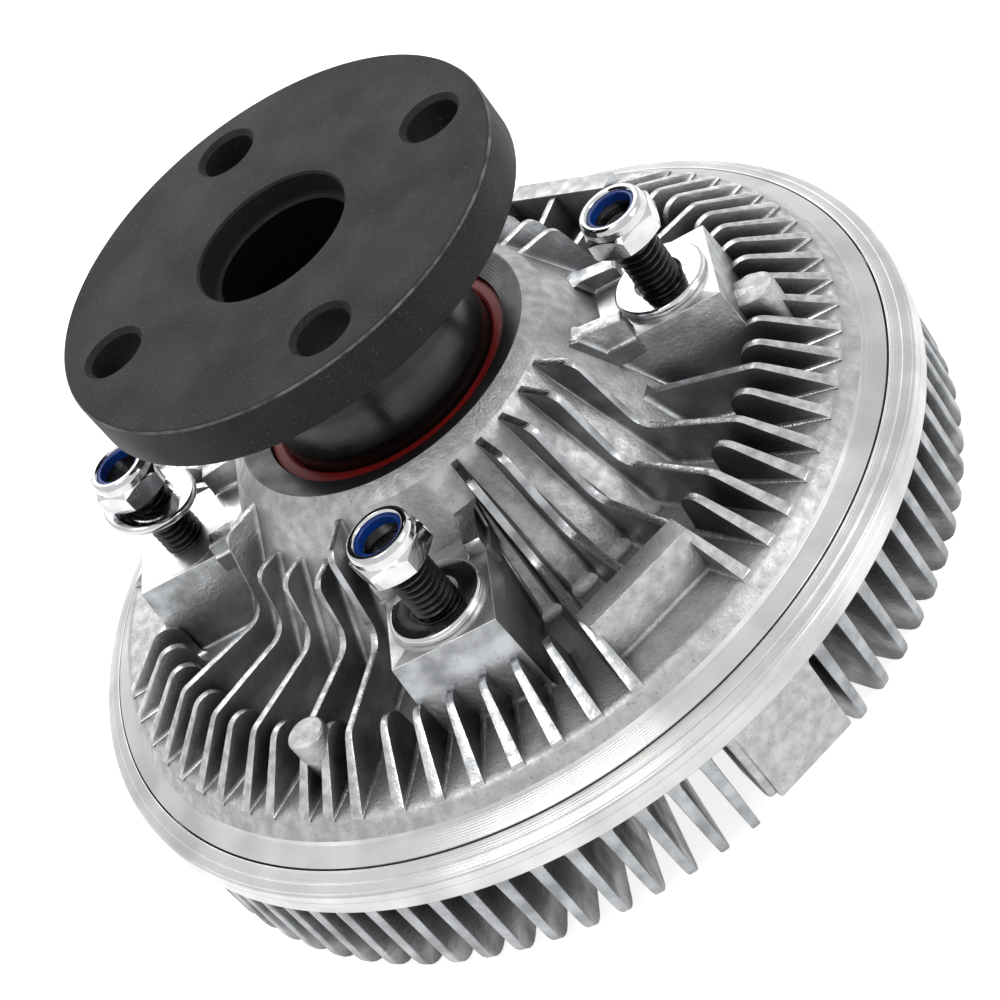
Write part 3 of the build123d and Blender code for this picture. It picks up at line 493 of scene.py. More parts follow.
def node(
    tree: NodeTree,
    kind: str,
    settings: dict[str, object] | None = None,
    **links: Link | float | Sequence[float],
) -> Node:
    """Adds a node.

    Args:
        tree: The material's tree.
        kind: Type of the node.
        settings: Its properties.
        **links: A value or (node, output) for each input, which goes by its name, with _ for
            a space, or by its number, as i0.

    Returns:
        The new node.
    """
    made = tree.nodes.new(kind)
    for name, value in (settings or {}).items():
        setattr(made, name, value)
    for name, value in links.items():
        numbered = name[0] == "i" and name[1:].isdigit()
        key = int(name[1:]) if numbered else name.replace("_", " ")
        if isinstance(value, tuple) and isinstance(value[0], Node):
            connect(tree, value, made.inputs[key])
        else:
            made.inputs[key].default_value = value
    return made


def per_metre(size_mm: float) -> float:
    """Texture scale that gives a pattern of a real size on coordinates in metres."""
    return 1.0 / (size_mm * MM)


def tint(
    tree: NodeTree,
    amount: Link | float,
    first: Link | str,
    second: Link | str,
    blend: str = "MIX",
) -> Link:
    """Mixes two colours, each a node's output or an sRGB hex value."""
    mix = node(tree, "ShaderNodeMix", {"data_type": "RGBA", "blend_type": blend}, i0=amount)
    for index, colour in ((6, first), (7, second)):
        if isinstance(colour, str):
            mix.inputs[index].default_value = linear(colour)
        else:
            connect(tree, colour, mix.inputs[index])
    return mix, 2


@dataclass(frozen=True)
class Noise:
    """A noise pattern of a real size, spread over a range of its values."""

    size_mm: float
    low: float = 0.36
    high: float = 0.66
    detail: float = 4.0

    def build(self, tree: NodeTree, place: Node) -> Link:
        """Adds the pattern and gives its value from 0 to 1."""
        at, scale = (place, "Object"), per_metre(self.size_mm)
        noise = node(tree, "ShaderNodeTexNoise", Vector=at, Scale=scale, Detail=self.detail)
        spread = node(tree, "ShaderNodeMapRange", i0=(noise, 0), i1=self.low, i2=self.high)
        return spread, 0


@dataclass(frozen=True)
class MetalFinish:
    """A metal surface: two drifting tones, specks, fine grain and, where turned, tool rings."""

    name: str
    dark: str
    light: str
    roughness: tuple[float, float]
    drift: Noise
    grain: Noise
    grain_depth: float
    metallic: float = 1.0
    shine: float = 0.5
    # Colour of the shade painted into hollows, and how far the occlusion looks for near walls.
    painted_shade: str = ""
    painted_shade_mm: float = 7.0
    speck: str = ""
    specks: Noise = Noise(0.5, 0.68, 0.76)
    ring_mm: float = 0.0
    ring_depth: float = 0.0

    def colour(self, tree: NodeTree, place: Node, drift: Link) -> Link:
        """Builds the base colour: drifting tones, specks and painted shade in hollows."""
        result = tint(tree, drift, self.dark, self.light)
        if self.speck:
            result = tint(tree, self.specks.build(tree, place), result, self.speck)
        # Painted shade: the colour darkens where ambient occlusion finds near walls.
        if self.painted_shade:
            reach, (low, high) = self.painted_shade_mm * MM, PAINTED_SHADE_RANGE
            shade = node(tree, "ShaderNodeAmbientOcclusion", {"samples": 4}, Distance=reach)
            light = node(tree, "ShaderNodeMapRange", i0=(shade, "AO"), i1=low, i2=high)
            shaded = tint(tree, 1.0, result, self.painted_shade, "MULTIPLY")
            result = tint(tree, (light, 0), shaded, result)
        return result

    def bump(self, tree: NodeTree, place: Node) -> Link:
        """Builds the surface relief: grain and tool rings."""
        grain = self.grain.build(tree, place)
        depth = self.grain_depth * MM
        bump = node(tree, "ShaderNodeBump", Strength=1.0, Distance=depth, Height=grain)
        if self.ring_mm:
            rings = node(
                tree, "ShaderNodeTexWave",
                {"wave_type": "RINGS", "rings_direction": "Z", "wave_profile": "SIN"},
                Vector=(place, "Object"), Scale=per_metre(self.ring_mm) * WAVE_PERIOD,
                Distortion=0.6, Detail=2.0,
            )
            relief = {"Distance": self.ring_depth * MM, "Height": (rings, 1), "Normal": (bump, 0)}
            bump = node(tree, "ShaderNodeBump", Strength=1.0, **relief)
        return bump, 0

    def material(self) -> Material:
        """Builds the material, with a Principled shader."""
        made, tree, shader = new_material(self.name)
        place = node(tree, "ShaderNodeTexCoord")
        drift = self.drift.build(tree, place)
        colour = self.colour(tree, place, drift)
        smooth, dull = self.roughness
        polish = node(tree, "ShaderNodeMapRange", i0=drift, i3=dull, i4=smooth)
        connect(tree, colour, shader.inputs["Base Color"])
        connect(tree, (polish, 0), shader.inputs["Roughness"])
        connect(tree, self.bump(tree, place), shader.inputs["Normal"])
        shader.inputs["Metallic"].default_value = self.metallic
        shader.inputs["Specular IOR Level"].default_value = self.shine
        return made


@dataclass(frozen=True)
class MouldedFinish:
    """A moulded rubber or plastic surface with a faint skin texture."""

    name: str
    dark: str
    light: str
    roughness: float
    grain: Noise

    def material(self) -> Material:
        """Builds the material."""
        made, tree, shader = new_material(self.name)
        grain = self.grain.build(tree, node(tree, "ShaderNodeTexCoord"))
        colour = tint(tree, grain, self.dark, self.light)
        bump = node(tree, "ShaderNodeBump", Strength=0.6, Distance=0.02 * MM, Height=grain)
        connect(tree, colour, shader.inputs["Base Color"])
        connect(tree, (bump, 0), shader.inputs["Normal"])
        shader.inputs["Roughness"].default_value = self.roughness
        return made


# Die-cast aluminium as it left the die: satin grey with a soft drift of tone, a fine grain,
# small dark pits, and painted shade in its hollows.
CAST_ALUMINIUM = MetalFinish(
    "die_cast_aluminium", "87898B", "B2B4B6", (0.3, 0.44), Noise(6.0), Noise(0.9), 0.025,
    painted_shade="505153", speck="6B6C6D", specks=Noise(0.6, 0.65, 0.74),
)
# Casting skin with coarse flow marks, as on the neck cone, floor, rim land, pads, pegs and lugs.
# Painted shade darkens its hollows too.
ROUGH_ALUMINIUM = MetalFinish(
    "rough_casting_skin", "A2A2A1", "B9B9B8", (0.4, 0.52), Noise(2.6), Noise(0.7), 0.035,
    painted_shade="5A5B5D", speck="868685", specks=Noise(0.5, 0.63, 0.7),
)
# Turned aluminium: bright, with the rings that the tool leaves.
TURNED_ALUMINIUM = MetalFinish(
    "turned_aluminium", "B5B5B4", "D2D2D0", (0.26, 0.38), Noise(16.0), Noise(0.3), 0.008,
    ring_mm=0.5, ring_depth=0.02,
)
# Milled boss tops: flat, bright and even.
MILLED_ALUMINIUM = MetalFinish(
    "milled_aluminium", "C2C2C3", "DCDCDD", (0.26, 0.36), Noise(5.0), Noise(0.3), 0.01
)
# Crests of the fins, rubbed brighter than their sides and with a painted highlight.
RUBBED_CREST_AND_PAINTED_HIGHLIGHT = MetalFinish(
    # The same finish paints a highlight on the foot fillets near the rim and on the pads' top
    # edges.
    "rubbed_crest_and_painted_highlight", "9C9EA0", "CFD0D1", (0.22, 0.36), Noise(2.2), Noise(0.6), 0.03, speck="7A7B7C"
)
# Faced ring of the neck, darker than the aluminium round it: a painted reflection of the black
# flange above.
FACED_NECK_PAINTED_REFLECTION = MetalFinish(
    "faced_neck_ring_painted_reflection", "4E4E50", "6C6C6E", (0.3, 0.42), Noise(9.0), Noise(0.3), 0.01, ring_mm=0.6,
    ring_depth=0.015,
)
# Manganese-phosphated steel: matt black with a fine light sparkle of crystals.
PHOSPHATED_STEEL = MetalFinish(
    "phosphated_steel", "1E1E1E", "262626", (0.5, 0.6), Noise(14.0), Noise(0.5), 0.03,
    metallic=0.0, shine=0.15, speck="6A6A6C", specks=Noise(0.32, 0.66, 0.74, 2.0),
)
# Edge of the flange, where the black has worn to bright steel in places, with a painted highlight
# along its rounding.
WORN_EDGE_AND_PAINTED_HIGHLIGHT = MetalFinish(
    "worn_black_edge_and_painted_highlight", "2E2E2E", "7E7E7C", (0.4, 0.5), Noise(3.0, 0.35, 0.8), Noise(0.5), 0.03,
    metallic=0.3,
)
# Oiled black steel, smoother than the flange's faces.
OILED_STEEL = MetalFinish(
    "oiled_black_steel", "080808", "111112", (0.2, 0.32), Noise(8.0), Noise(0.4), 0.01,
    metallic=0.0,
)
# Bright zinc plate, nearly a mirror.
BRIGHT_ZINC = MetalFinish(
    "bright_zinc_plate", "BCBDBF", "D4D5D6", (0.06, 0.12), Noise(5.0), Noise(0.6), 0.006
)
# Ground steel of the bearing and plain pressed steel of the small parts.
GROUND_STEEL = MetalFinish(
    "ground_steel", "949597", "BEBFC1", (0.18, 0.28), Noise(6.0), Noise(0.4), 0.008
)
# The coil's two-metal strip, straw coloured.
BIMETAL_STRIP = MetalFinish(
    "bimetal_strip", "8C7A5A", "B7A37E", (0.25, 0.38), Noise(5.0), Noise(0.4), 0.01
)
# Nylon dyed a deep blue, satin.
BLUE_NYLON = MouldedFinish("blue_nylon", "022E78", "0846A4", 0.4, Noise(0.6))
# Silicone and nitrile rubber with a dull moulded skin.
RED_SILICONE = MouldedFinish("red_silicone_rubber", "8E0B0B", "AC1512", 0.5, Noise(0.7))
BLACK_NITRILE = MouldedFinish("black_nitrile_rubber", "0E0E0F", "1A1A1B", 0.55, Noise(0.6))


@dataclass
class RearCover:
    """The finned die-cast cover with its neck, stud bosses, pads and pegs."""

    floor: float = 40.7
    crest: float = 50.7
    neck_edge: float = 75.6
    rim_edge: float = 34.3
    seat: float = 28.6
    ceiling: float = 37.1
    fin_width: float = 2.7
    full_angles: tuple[float, ...] = (
        -111.8, -70.5, -50.9, -40.5, -30.2, 27.0, 37.3, 47.6, 71.0,
        113.5, 124.0, 134.5, 145.0, 155.5, 207.5,
    )
    pad_fin_angles: tuple[float, ...] = (-60.9, 60.5)
    low_angles: tuple[float, ...] = (-142.0, -131.5, -120.5)
    side_angle: float = -19.5
    short_rows: tuple[tuple[float, float, int], ...] = (
        (-158.0, 10.4, 5), (-105.4, 5.75, 6), (-45.3, 10.3, 3), (-14.5, 5.26, 8), (32.2, 10.3, 2),
        (76.5, 5.3, 7), (118.7, 10.5, 4), (161.0, 5.8, 2), (190.0, 5.8, 2),
    )
    pad_angles: tuple[float, ...] = (-60.5, 59.5)
    peg_angles: tuple[float, ...] = (-119.0, -3.3)
    peg_circle: float = 74.7
    peg_reach: float = 5.4
    rib_crests: tuple[tuple[float, float], ...] = ((10.1, 63.8), (-10.1, 65.8))
    # Limits of the finishes: radii, heights and, as up, the rise of a face's normal.
    pad_band: tuple[float, float] = (70.5, 79.0)
    pad_reach: float = 8.9
    # The pads' top edges within these limits get the painted highlight.
    pad_edge_depth: float = 1.5
    pad_edge_up: tuple[float, float] = (0.25, 0.97)
    faced_radius: float = 33.9
    faced_foot: float = 72.8
    turned_radius: float = 90.35
    milled_radius: float = 43.0
    milled_band: tuple[float, float] = (BOSS_TOP - 0.2, BOSS_TOP + 1.0)
    milled_up: float = 0.9
    cone_radius: float = 59.0
    cone_skin: float = 1.5
    cone_up: float = 0.48
    cone_twist: float = 0.01
    level_up: float = 0.99
    # The next limits pick the fin crests and the foot fillets that get the painted highlight.
    fin_foot: float = 1.0
    crest_radius: float = 38.0
    crest_up: float = 0.55
    tail_band: tuple[float, float] = (77.0, 87.5)
    tail_up: tuple[float, float] = (0.3, 0.95)

    @property
    def walls(self) -> tuple[Wall, Wall]:
        """The floor and the neck cone, on which the ribs stand."""
        cone = Wall((54.9, self.floor), (0.8756, 0.4831))
        return Wall((0.0, self.floor), (0.0, 1.0)), cone

    def casting(self) -> BMesh:
        """The turned form of the cover: neck, cone, floor, rim land and the cavity inside."""
        return lathe(
            (
                (28.35, 73.5, 0.25), (33.8, self.neck_edge, 0.5), (37.3, 72.6, 0.4),
                (54.9, self.floor, 4.0), (87.6, self.floor, 2.5), (90.0, 37.1, 0.3),
                (90.3, 36.0, 0.2), (90.9, 35.8, 0.2), (94.3, self.rim_edge, 0.25),
                (94.3, self.seat), (87.5, self.seat), (87.5, self.ceiling, 1.0),
                (50.0, self.ceiling, 2.0), (36.5, 49.0, 1.0), (31.03, 49.0, 0.3), (31.03, 50.3),
                (32.63, 50.3), (32.63, 52.0), (31.03, 52.0), (31.03, 68.0), (28.35, 68.0),
            ),
            steps=360,
        )

    def outer_run(self) -> tuple[Corner, ...]:
        """Where a rear fin slopes to the rim and turns back into the wall."""
        return (
            (74.3, self.crest, 4.0), (87.5, self.floor + 0.4, 0.6), (88.0, self.floor - 2.0),
        )

    def wall_run(self) -> tuple[Corner, ...]:
        """The buried side of a fin that reaches the neck."""
        return ((57.0, self.floor - 2.0), (50.5, 41.5))

    def fin(self, outline: Sequence[Corner], nose: float | None = None) -> BMesh:
        """One fin from its side outline."""
        return Rib(
            outline, self.fin_width, self.walls, draft=3.2, draft_wall=self.walls[0],
            draft_rise=self.crest - self.floor, edge_rounding=1.12, foot_rounding=1.3,
            free_nose=nose, fade=(38.0, 44.0, 80.0, 87.0),
        ).build()

    def add_fins(self, shell: Shell) -> None:
        """Adds the fins: full, to a pad, low, short with a round nose, and beside a boss."""
        crest, under = self.crest, self.floor - 2.0
        neck = ((39.0, 62.0), (36.0, 72.1, 0.4), (46.8, 71.3, 3.6), (51.5, crest, 5.0))
        outer, wall = self.outer_run(), self.wall_run()
        low = ((39.0, 65.0, 0.4), (48.2, 65.2, 3.2), (51.5, crest, 5.0))
        short = ((69.0, under), (69.0, crest, 3.8), *outer)
        rows = self.short_rows
        turns = [first + pitch * index for first, pitch, count in rows for index in range(count)]
        shell.add(self.fin((*neck, *outer, *wall)), self.full_angles)
        shell.add(self.fin((*neck, (73.6, crest), (73.6, under), *wall)), self.pad_fin_angles)
        shell.add(self.fin((*low, *outer, *wall, (41.0, 58.0))), self.low_angles)
        shell.add(self.fin(short, nose=69.0), turns)
        shell.add(self.fin(((46.5, crest), *outer, *wall)), (self.side_angle,))

    def boss(self) -> BMesh:
        """A square stud boss that runs back into the neck."""
        outline = (
            (41.0, BOSS_TOP), (69.7, BOSS_TOP), (71.2, self.floor),
            (71.2, self.floor - 2.0), *self.wall_run(),
        )
        return Rib(
            outline, 25.0, self.walls, draft=2.9, draft_wall=self.walls[0], edge_rounding=0.45,
            end_rounding=3.2, foot_rounding=1.0, free_end=71.2,
        ).build()

    def boss_rib(self, crest: float) -> BMesh:
        """One of the two short ribs behind a boss, up to a height at its outer end."""
        top = Wall((0.0, BOSS_TOP), (0.0, 1.0))
        outline = (
            (39.5, BOSS_TOP - 4.0), (38.6, crest + 1.1, 0.4), (46.0, crest + 0.5, 1.5),
            (50.4, crest, 0.8), (50.6, BOSS_TOP - 4.0),
        )
        walls = (top, self.walls[1])
        return Rib(outline, 3.8, walls, draft=2.0, edge_rounding=0.5, foot_rounding=0.8).build()

    def spot_face(self) -> BMesh:
        """The thin round land that a stud's washer lies on."""
        top = ((11.0, BOSS_TOP + 0.05, 0.04), (5.2, 60.55))
        return lathe(((5.2, 59.5), (11.0, 59.5), *top), steps=96)

    def pad(self) -> BMesh:
        """A broad low block that bridges two fins."""
        outline = (
            (71.0, self.floor - 2.0), (71.1, 51.3), (76.4, 51.0), (77.1, self.floor),
            (77.1, self.floor - 2.0),
        )
        roundings = {"edge_rounding": 0.6, "foot_rounding": 0.7}
        return Rib(outline, 26.6, self.walls, draft=1.0, free_end=77.0, **roundings).build()

    def peg(self) -> BMesh:
        """A round locating peg."""
        foot = ((0.0, 39.0), (5.6, 39.0), (5.3, self.floor), (4.28, self.floor + 1.2, 1.0))
        top = ((4.1, 52.5, 0.45), (0.0, 52.5))
        return lathe((*foot, *top), steps=48, segments=5, closed=False)

    def long_peg(self) -> BMesh:
        """The peg that runs back into a boss: a round one drawn out along its radius."""
        shape = self.peg()
        inner = [vert for vert in shape.verts if vert.co.x < -0.01]
        bmesh.ops.translate(shape, vec=(-5.0, 0, 0), verts=inner)
        return shape

    def on_peg(self, centre: Vector) -> bool:
        """Whether a place lies on one of the two pegs."""
        middle = Vector((self.peg_circle, 0, 0))
        places = [z_turn(turn, 3) @ middle for turn in self.peg_angles]
        near = any((centre - place).xy.length < self.peg_reach for place in places)
        return near and centre.z > self.floor + CLEAR_HEIGHT

    def on_pad(self, centre: Vector) -> bool:
        """Whether a place lies on one of the two pads."""
        radius, angle = polar(centre)
        near = any(abs(angle - place) < self.pad_reach for place in self.pad_angles)
        return near and within(radius, self.pad_band)

    def on_cone(self, centre: Vector, normal: Vector) -> bool:
        """Whether a face lies on the bare neck cone."""
        radius = polar(centre)[0]
        twist = abs(centre.x * normal.y - centre.y * normal.x) / radius
        bare = self.walls[1].height(centre) < self.cone_skin and twist < self.cone_twist
        return bare and radius < self.cone_radius and normal.z > self.cone_up

    def region(self, centre: Vector, normal: Vector) -> Region:
        """Finish of a face of the casting."""
        radius, up = polar(centre)[0], normal.z
        # The faced neck ring takes the darkened finish that paints in the black flange's
        # reflection.
        if radius < self.faced_radius and centre.z > self.faced_foot:
            return Region.FACED
        if radius > self.turned_radius or centre.z < self.ceiling:
            return Region.TURNED
        at_boss_top = within(centre.z, self.milled_band) and radius > self.milled_radius
        if at_boss_top and up > self.milled_up:
            return Region.MILLED
        if self.on_peg(centre):
            return Region.ROUGH
        if self.on_pad(centre):
            # A pad's top edge gets the painted highlight.
            high = centre.z > self.crest - self.pad_edge_depth
            return Region.RUBBED_AND_PAINTED_HIGHLIGHT if high and within(up, self.pad_edge_up) else Region.ROUGH
        plain = radius > self.pad_band[1] or up > self.level_up
        if plain and centre.z < self.floor + SKIN or self.on_cone(centre, normal):
            return Region.ROUGH
        # Fin crests, and foot fillets near the rim, get the rubbed finish with its painted
        # highlight.
        rise = centre.z - (self.floor + self.fin_foot)
        crest = rise > 0 and up > self.crest_up and radius > self.crest_radius
        tail = rise < 0 and within(up, self.tail_up) and within(radius, self.tail_band)
        return Region.RUBBED_AND_PAINTED_HIGHLIGHT if crest or tail else Region.CAST

    def build(self, finishes: Sequence[Material]) -> Object:
        """Makes the cover.

        Args:
            finishes: Materials in the order of Region.

        Returns:
            The finished piece.
        """
        shell = Shell().add(self.casting())
        self.add_fins(shell)
        shell.add(self.boss(), STUD_ANGLES)
        for side, crest in self.rib_crests:
            shell.add(self.boss_rib(crest), STUD_ANGLES, offset=(0, side, 0))
        shell.add(self.spot_face(), STUD_ANGLES, offset=(STUD_CIRCLE, 0, 0))
        shell.add(self.pad(), self.pad_angles)
        on_circle = (self.peg_circle, 0, 0)
        shell.add(self.peg(), self.peg_angles[:1], offset=on_circle)
        shell.add(self.long_peg(), self.peg_angles[1:], offset=on_circle)
        return shell.finish("rear_cover_casting", "rear_cover", finishes, self.region)


@dataclass
class FrontBody:
    """The finned die-cast body whose rim shows below the cover."""

    rim_top: float = 34.2
    rim_foot: float = 26.2
    plate_under: float = 21.5
    bulge_face: float = 9.0
    radius: float = 99.4
    fin_count: int = 80
    fin_phase: float = 2.1
    lug_angles: tuple[float, ...] = (-59.9, 60.1, 180.1)
    bead_angle: float = -6.2
    fin_reach: float = 97.8
    short_reach: float = 88.0
    lug_gap: float = 7.2
    bury: float = 2.0
    # Limits of the finishes.
    lug_half: float = 7.0
    lug_face: float = 97.0
    joint_radius: float = 95.0
    joint_height: float = 24.9
    rim_inner: float = 92.3

    @property
    def walls(self) -> tuple[Wall, Wall]:
        """The body's under side: the flat plate and the slope up to the rim."""
        slope = Wall((90.0, self.plate_under), (0.4472, -0.8944))
        return Wall((0.0, self.plate_under), (0.0, -1.0)), slope

    def casting(self) -> BMesh:
        """The turned form of the body: rim, working chamber, reservoir and centre boss."""
        return lathe(
            (
                (94.6, self.rim_top, 0.25), (96.9, 33.3, 0.15), (97.0, 33.0, 0.1),
                (97.3, 32.95, 0.1), (98.8, 32.2, 0.15), (98.9, 31.9, 0.1), (99.1, 31.8, 0.1),
                (self.radius, 31.4, 0.2), (self.radius, 29.6, 0.1), (99.25, 29.5, 0.05),
                (self.radius, 29.4, 0.1), (self.radius, self.rim_foot, 0.4),
                (90.0, self.plate_under, 3.0), (52.0, self.plate_under, 2.0),
                (52.0, self.bulge_face, 2.0), (9.0, self.bulge_face, 0.5), (8.5, 8.6, 0.3),
                (3.55, 8.6, 0.2), (3.55, 13.2), (5.45, 13.2), (5.45, 15.2), (3.55, 15.2),
                (3.55, 19.5), (9.0, 19.5, 0.5), (9.0, 13.5, 1.0), (44.0, 13.5, 2.0), (44.0, 25.3),
                (50.2, 25.3), (50.2, 26.5), (87.5, 26.5), (87.5, 28.6), (90.0, 28.6),
                (90.0, 26.9), (92.2, 26.9), (92.2, 28.6), (94.6, 28.6),
            ),
            steps=360,
        )

    def fin(self, outer: float) -> BMesh:
        """A front fin that runs out to a radius."""
        inside = self.plate_under + self.bury
        foot = self.plate_under + max(0.0, (outer - 90.0) / 2) + self.bury
        outline = (
            (56.0, inside), (56.0, self.plate_under), (60.0, 0.0, 2.5), (outer, 0.0, 5.5),
            (outer, foot), (min(outer, 90.0) - 0.5, inside),
        )
        return self.rib(outline, 2.9, draft=1.3, edge=1.2, foot=1.4)

    def rib(
        self, outline: Sequence[Corner], width: float, draft: float, edge: float, foot: float
    ) -> BMesh:
        """A rib on the under side, from its side outline."""
        return Rib(outline, width, self.walls, draft, edge, foot, combine=max).build()

    def lug(self) -> BMesh:
        """A flat-faced lug between the fins."""
        outline = ((86.0, 24.5), (86.0, 4.9, 1.2), (98.0, 4.9, 0.8), (98.3, 27.0))
        return self.rib(outline, 20.4, draft=1.0, edge=0.5, foot=1.2)

    def lug_bead(self) -> BMesh:
        """The rounded bead down one edge of a lug."""
        outline = ((86.0, 24.5), (86.0, 5.2, 1.2), (97.9, 5.2, 2.6), (98.5, 27.0))
        return self.rib(outline, 3.2, draft=1.0, edge=1.3, foot=1.2)

    def lug_distance(self, angle: float) -> float:
        """Degrees from an angle to the nearest lug."""
        return min(abs((angle - place + 180) % 360 - 180) for place in self.lug_angles)

    def region(self, centre: Vector, normal: Vector) -> Region:
        """Finish of a face of the casting."""
        radius, angle = polar(centre)
        if radius > self.rim_inner and centre.z > self.rim_foot + 0.1:
            return Region.TURNED
        if centre.z > self.joint_height and radius < self.joint_radius:
            return Region.TURNED
        if self.lug_distance(angle) < self.lug_half and radius > self.lug_face:
            return Region.ROUGH
        return Region.CAST

    def build(self, finishes: Sequence[Material]) -> Object:
        """Makes the body."""
        pitch = 360 / self.fin_count
        angles = [self.fin_phase + pitch * index for index in range(self.fin_count)]
        clear = [angle for angle in angles if self.lug_distance(angle) > self.lug_gap]
        shell = Shell().add(self.casting())
        shell.add(self.fin(self.fin_reach), clear)
        shell.add(self.fin(self.short_reach), [angle for angle in angles if angle not in clear])
        shell.add(self.lug(), self.lug_angles)
        shell.add(self.lug_bead(), [angle + self.bead_angle for angle in self.lug_angles])
        return shell.finish("front_body_casting", "front_body", finishes, self.region)


@dataclass
class DriveFlange:
    """The black steel flange with its spool-shaped hub and the shaft below it."""

    face: float = 115.0
    thickness: float = 10.4
    radius: float = 50.0
    hole_circle: float = 38.65
    hole_radius: float = 5.9
    hole_chamfer: float = 1.05
    hole_angles: tuple[float, ...] = (14.4, 104.4, 194.4, 284.4)
    tool_reach: tuple[float, float] = (12.0, 1.0)
    # Limits of the finishes, as on the cover.
    edge_band: float = 1.0
    edge_up: tuple[float, float] = (0.3, 0.9)
    under_skin: float = 0.2

    def forging(self) -> BMesh:
        """The turned form of flange, hub and shaft."""
        under = self.face - self.thickness
        return lathe(
            (
                (0.0, 28.5), (7.4, 28.5), (8.0, 29.1), (8.0, 36.3), (12.0, 36.3), (12.0, 52.3),
                (15.0, 52.3), (15.0, 68.0), (18.5, 68.0), (18.5, 70.0), (25.0, 70.0),
                (25.0, 76.2, 0.5), (24.0, 84.0, 14.0), (24.0, under, 10.0),
                (self.radius, under, 0.7), (self.radius, self.face, 0.75),
                (17.45, self.face, 0.1), (17.0, 114.5, 0.1), (17.0, 110.0), (15.75, 110.0, 0.1),
                (15.3, 109.4, 0.1), (15.2, 91.2), (0.0, 88.0),
            ),
            segments=6,
            closed=False,
        )

    def hole_tool(self) -> BMesh:
        """Cutters for the four bolt holes, with their chamfers."""
        below, above = self.tool_reach
        foot, top = self.face - self.thickness - below, self.face + above
        low, wide = self.hole_radius, self.hole_radius + self.hole_chamfer + above
        chamfer = ((low, self.face - self.hole_chamfer), (wide, top))
        hole = lathe(((0.0, foot), (low, foot), *chamfer, (0.0, top)), steps=64, closed=False)
        return Shell().add(hole, self.hole_angles, offset=(self.hole_circle, 0, 0)).take()

    def region(self, centre: Vector, normal: Vector) -> Region:
        """Slot 0 for the flange, 1 for the smooth hub and shaft, 2 for the flange's worn edge
        with its painted highlight.
        """
        if centre.z < self.face - self.thickness - self.under_skin:
            return Region.TURNED
        # The rounded top edge takes the worn finish with its painted highlight.
        outer = polar(centre)[0] > self.radius - self.edge_band
        edge = outer and centre.z > self.face - self.edge_band
        return Region.ROUGH if edge and within(normal.z, self.edge_up) else Region.CAST

    def build(self, finishes: Sequence[Material]) -> Object:
        """Makes the flange with its holes."""
        shell = Shell().add(boolean(self.forging(), self.hole_tool(), "DIFFERENCE"))
        return shell.finish("drive_flange_forging", "flange_shaft", finishes, self.region)


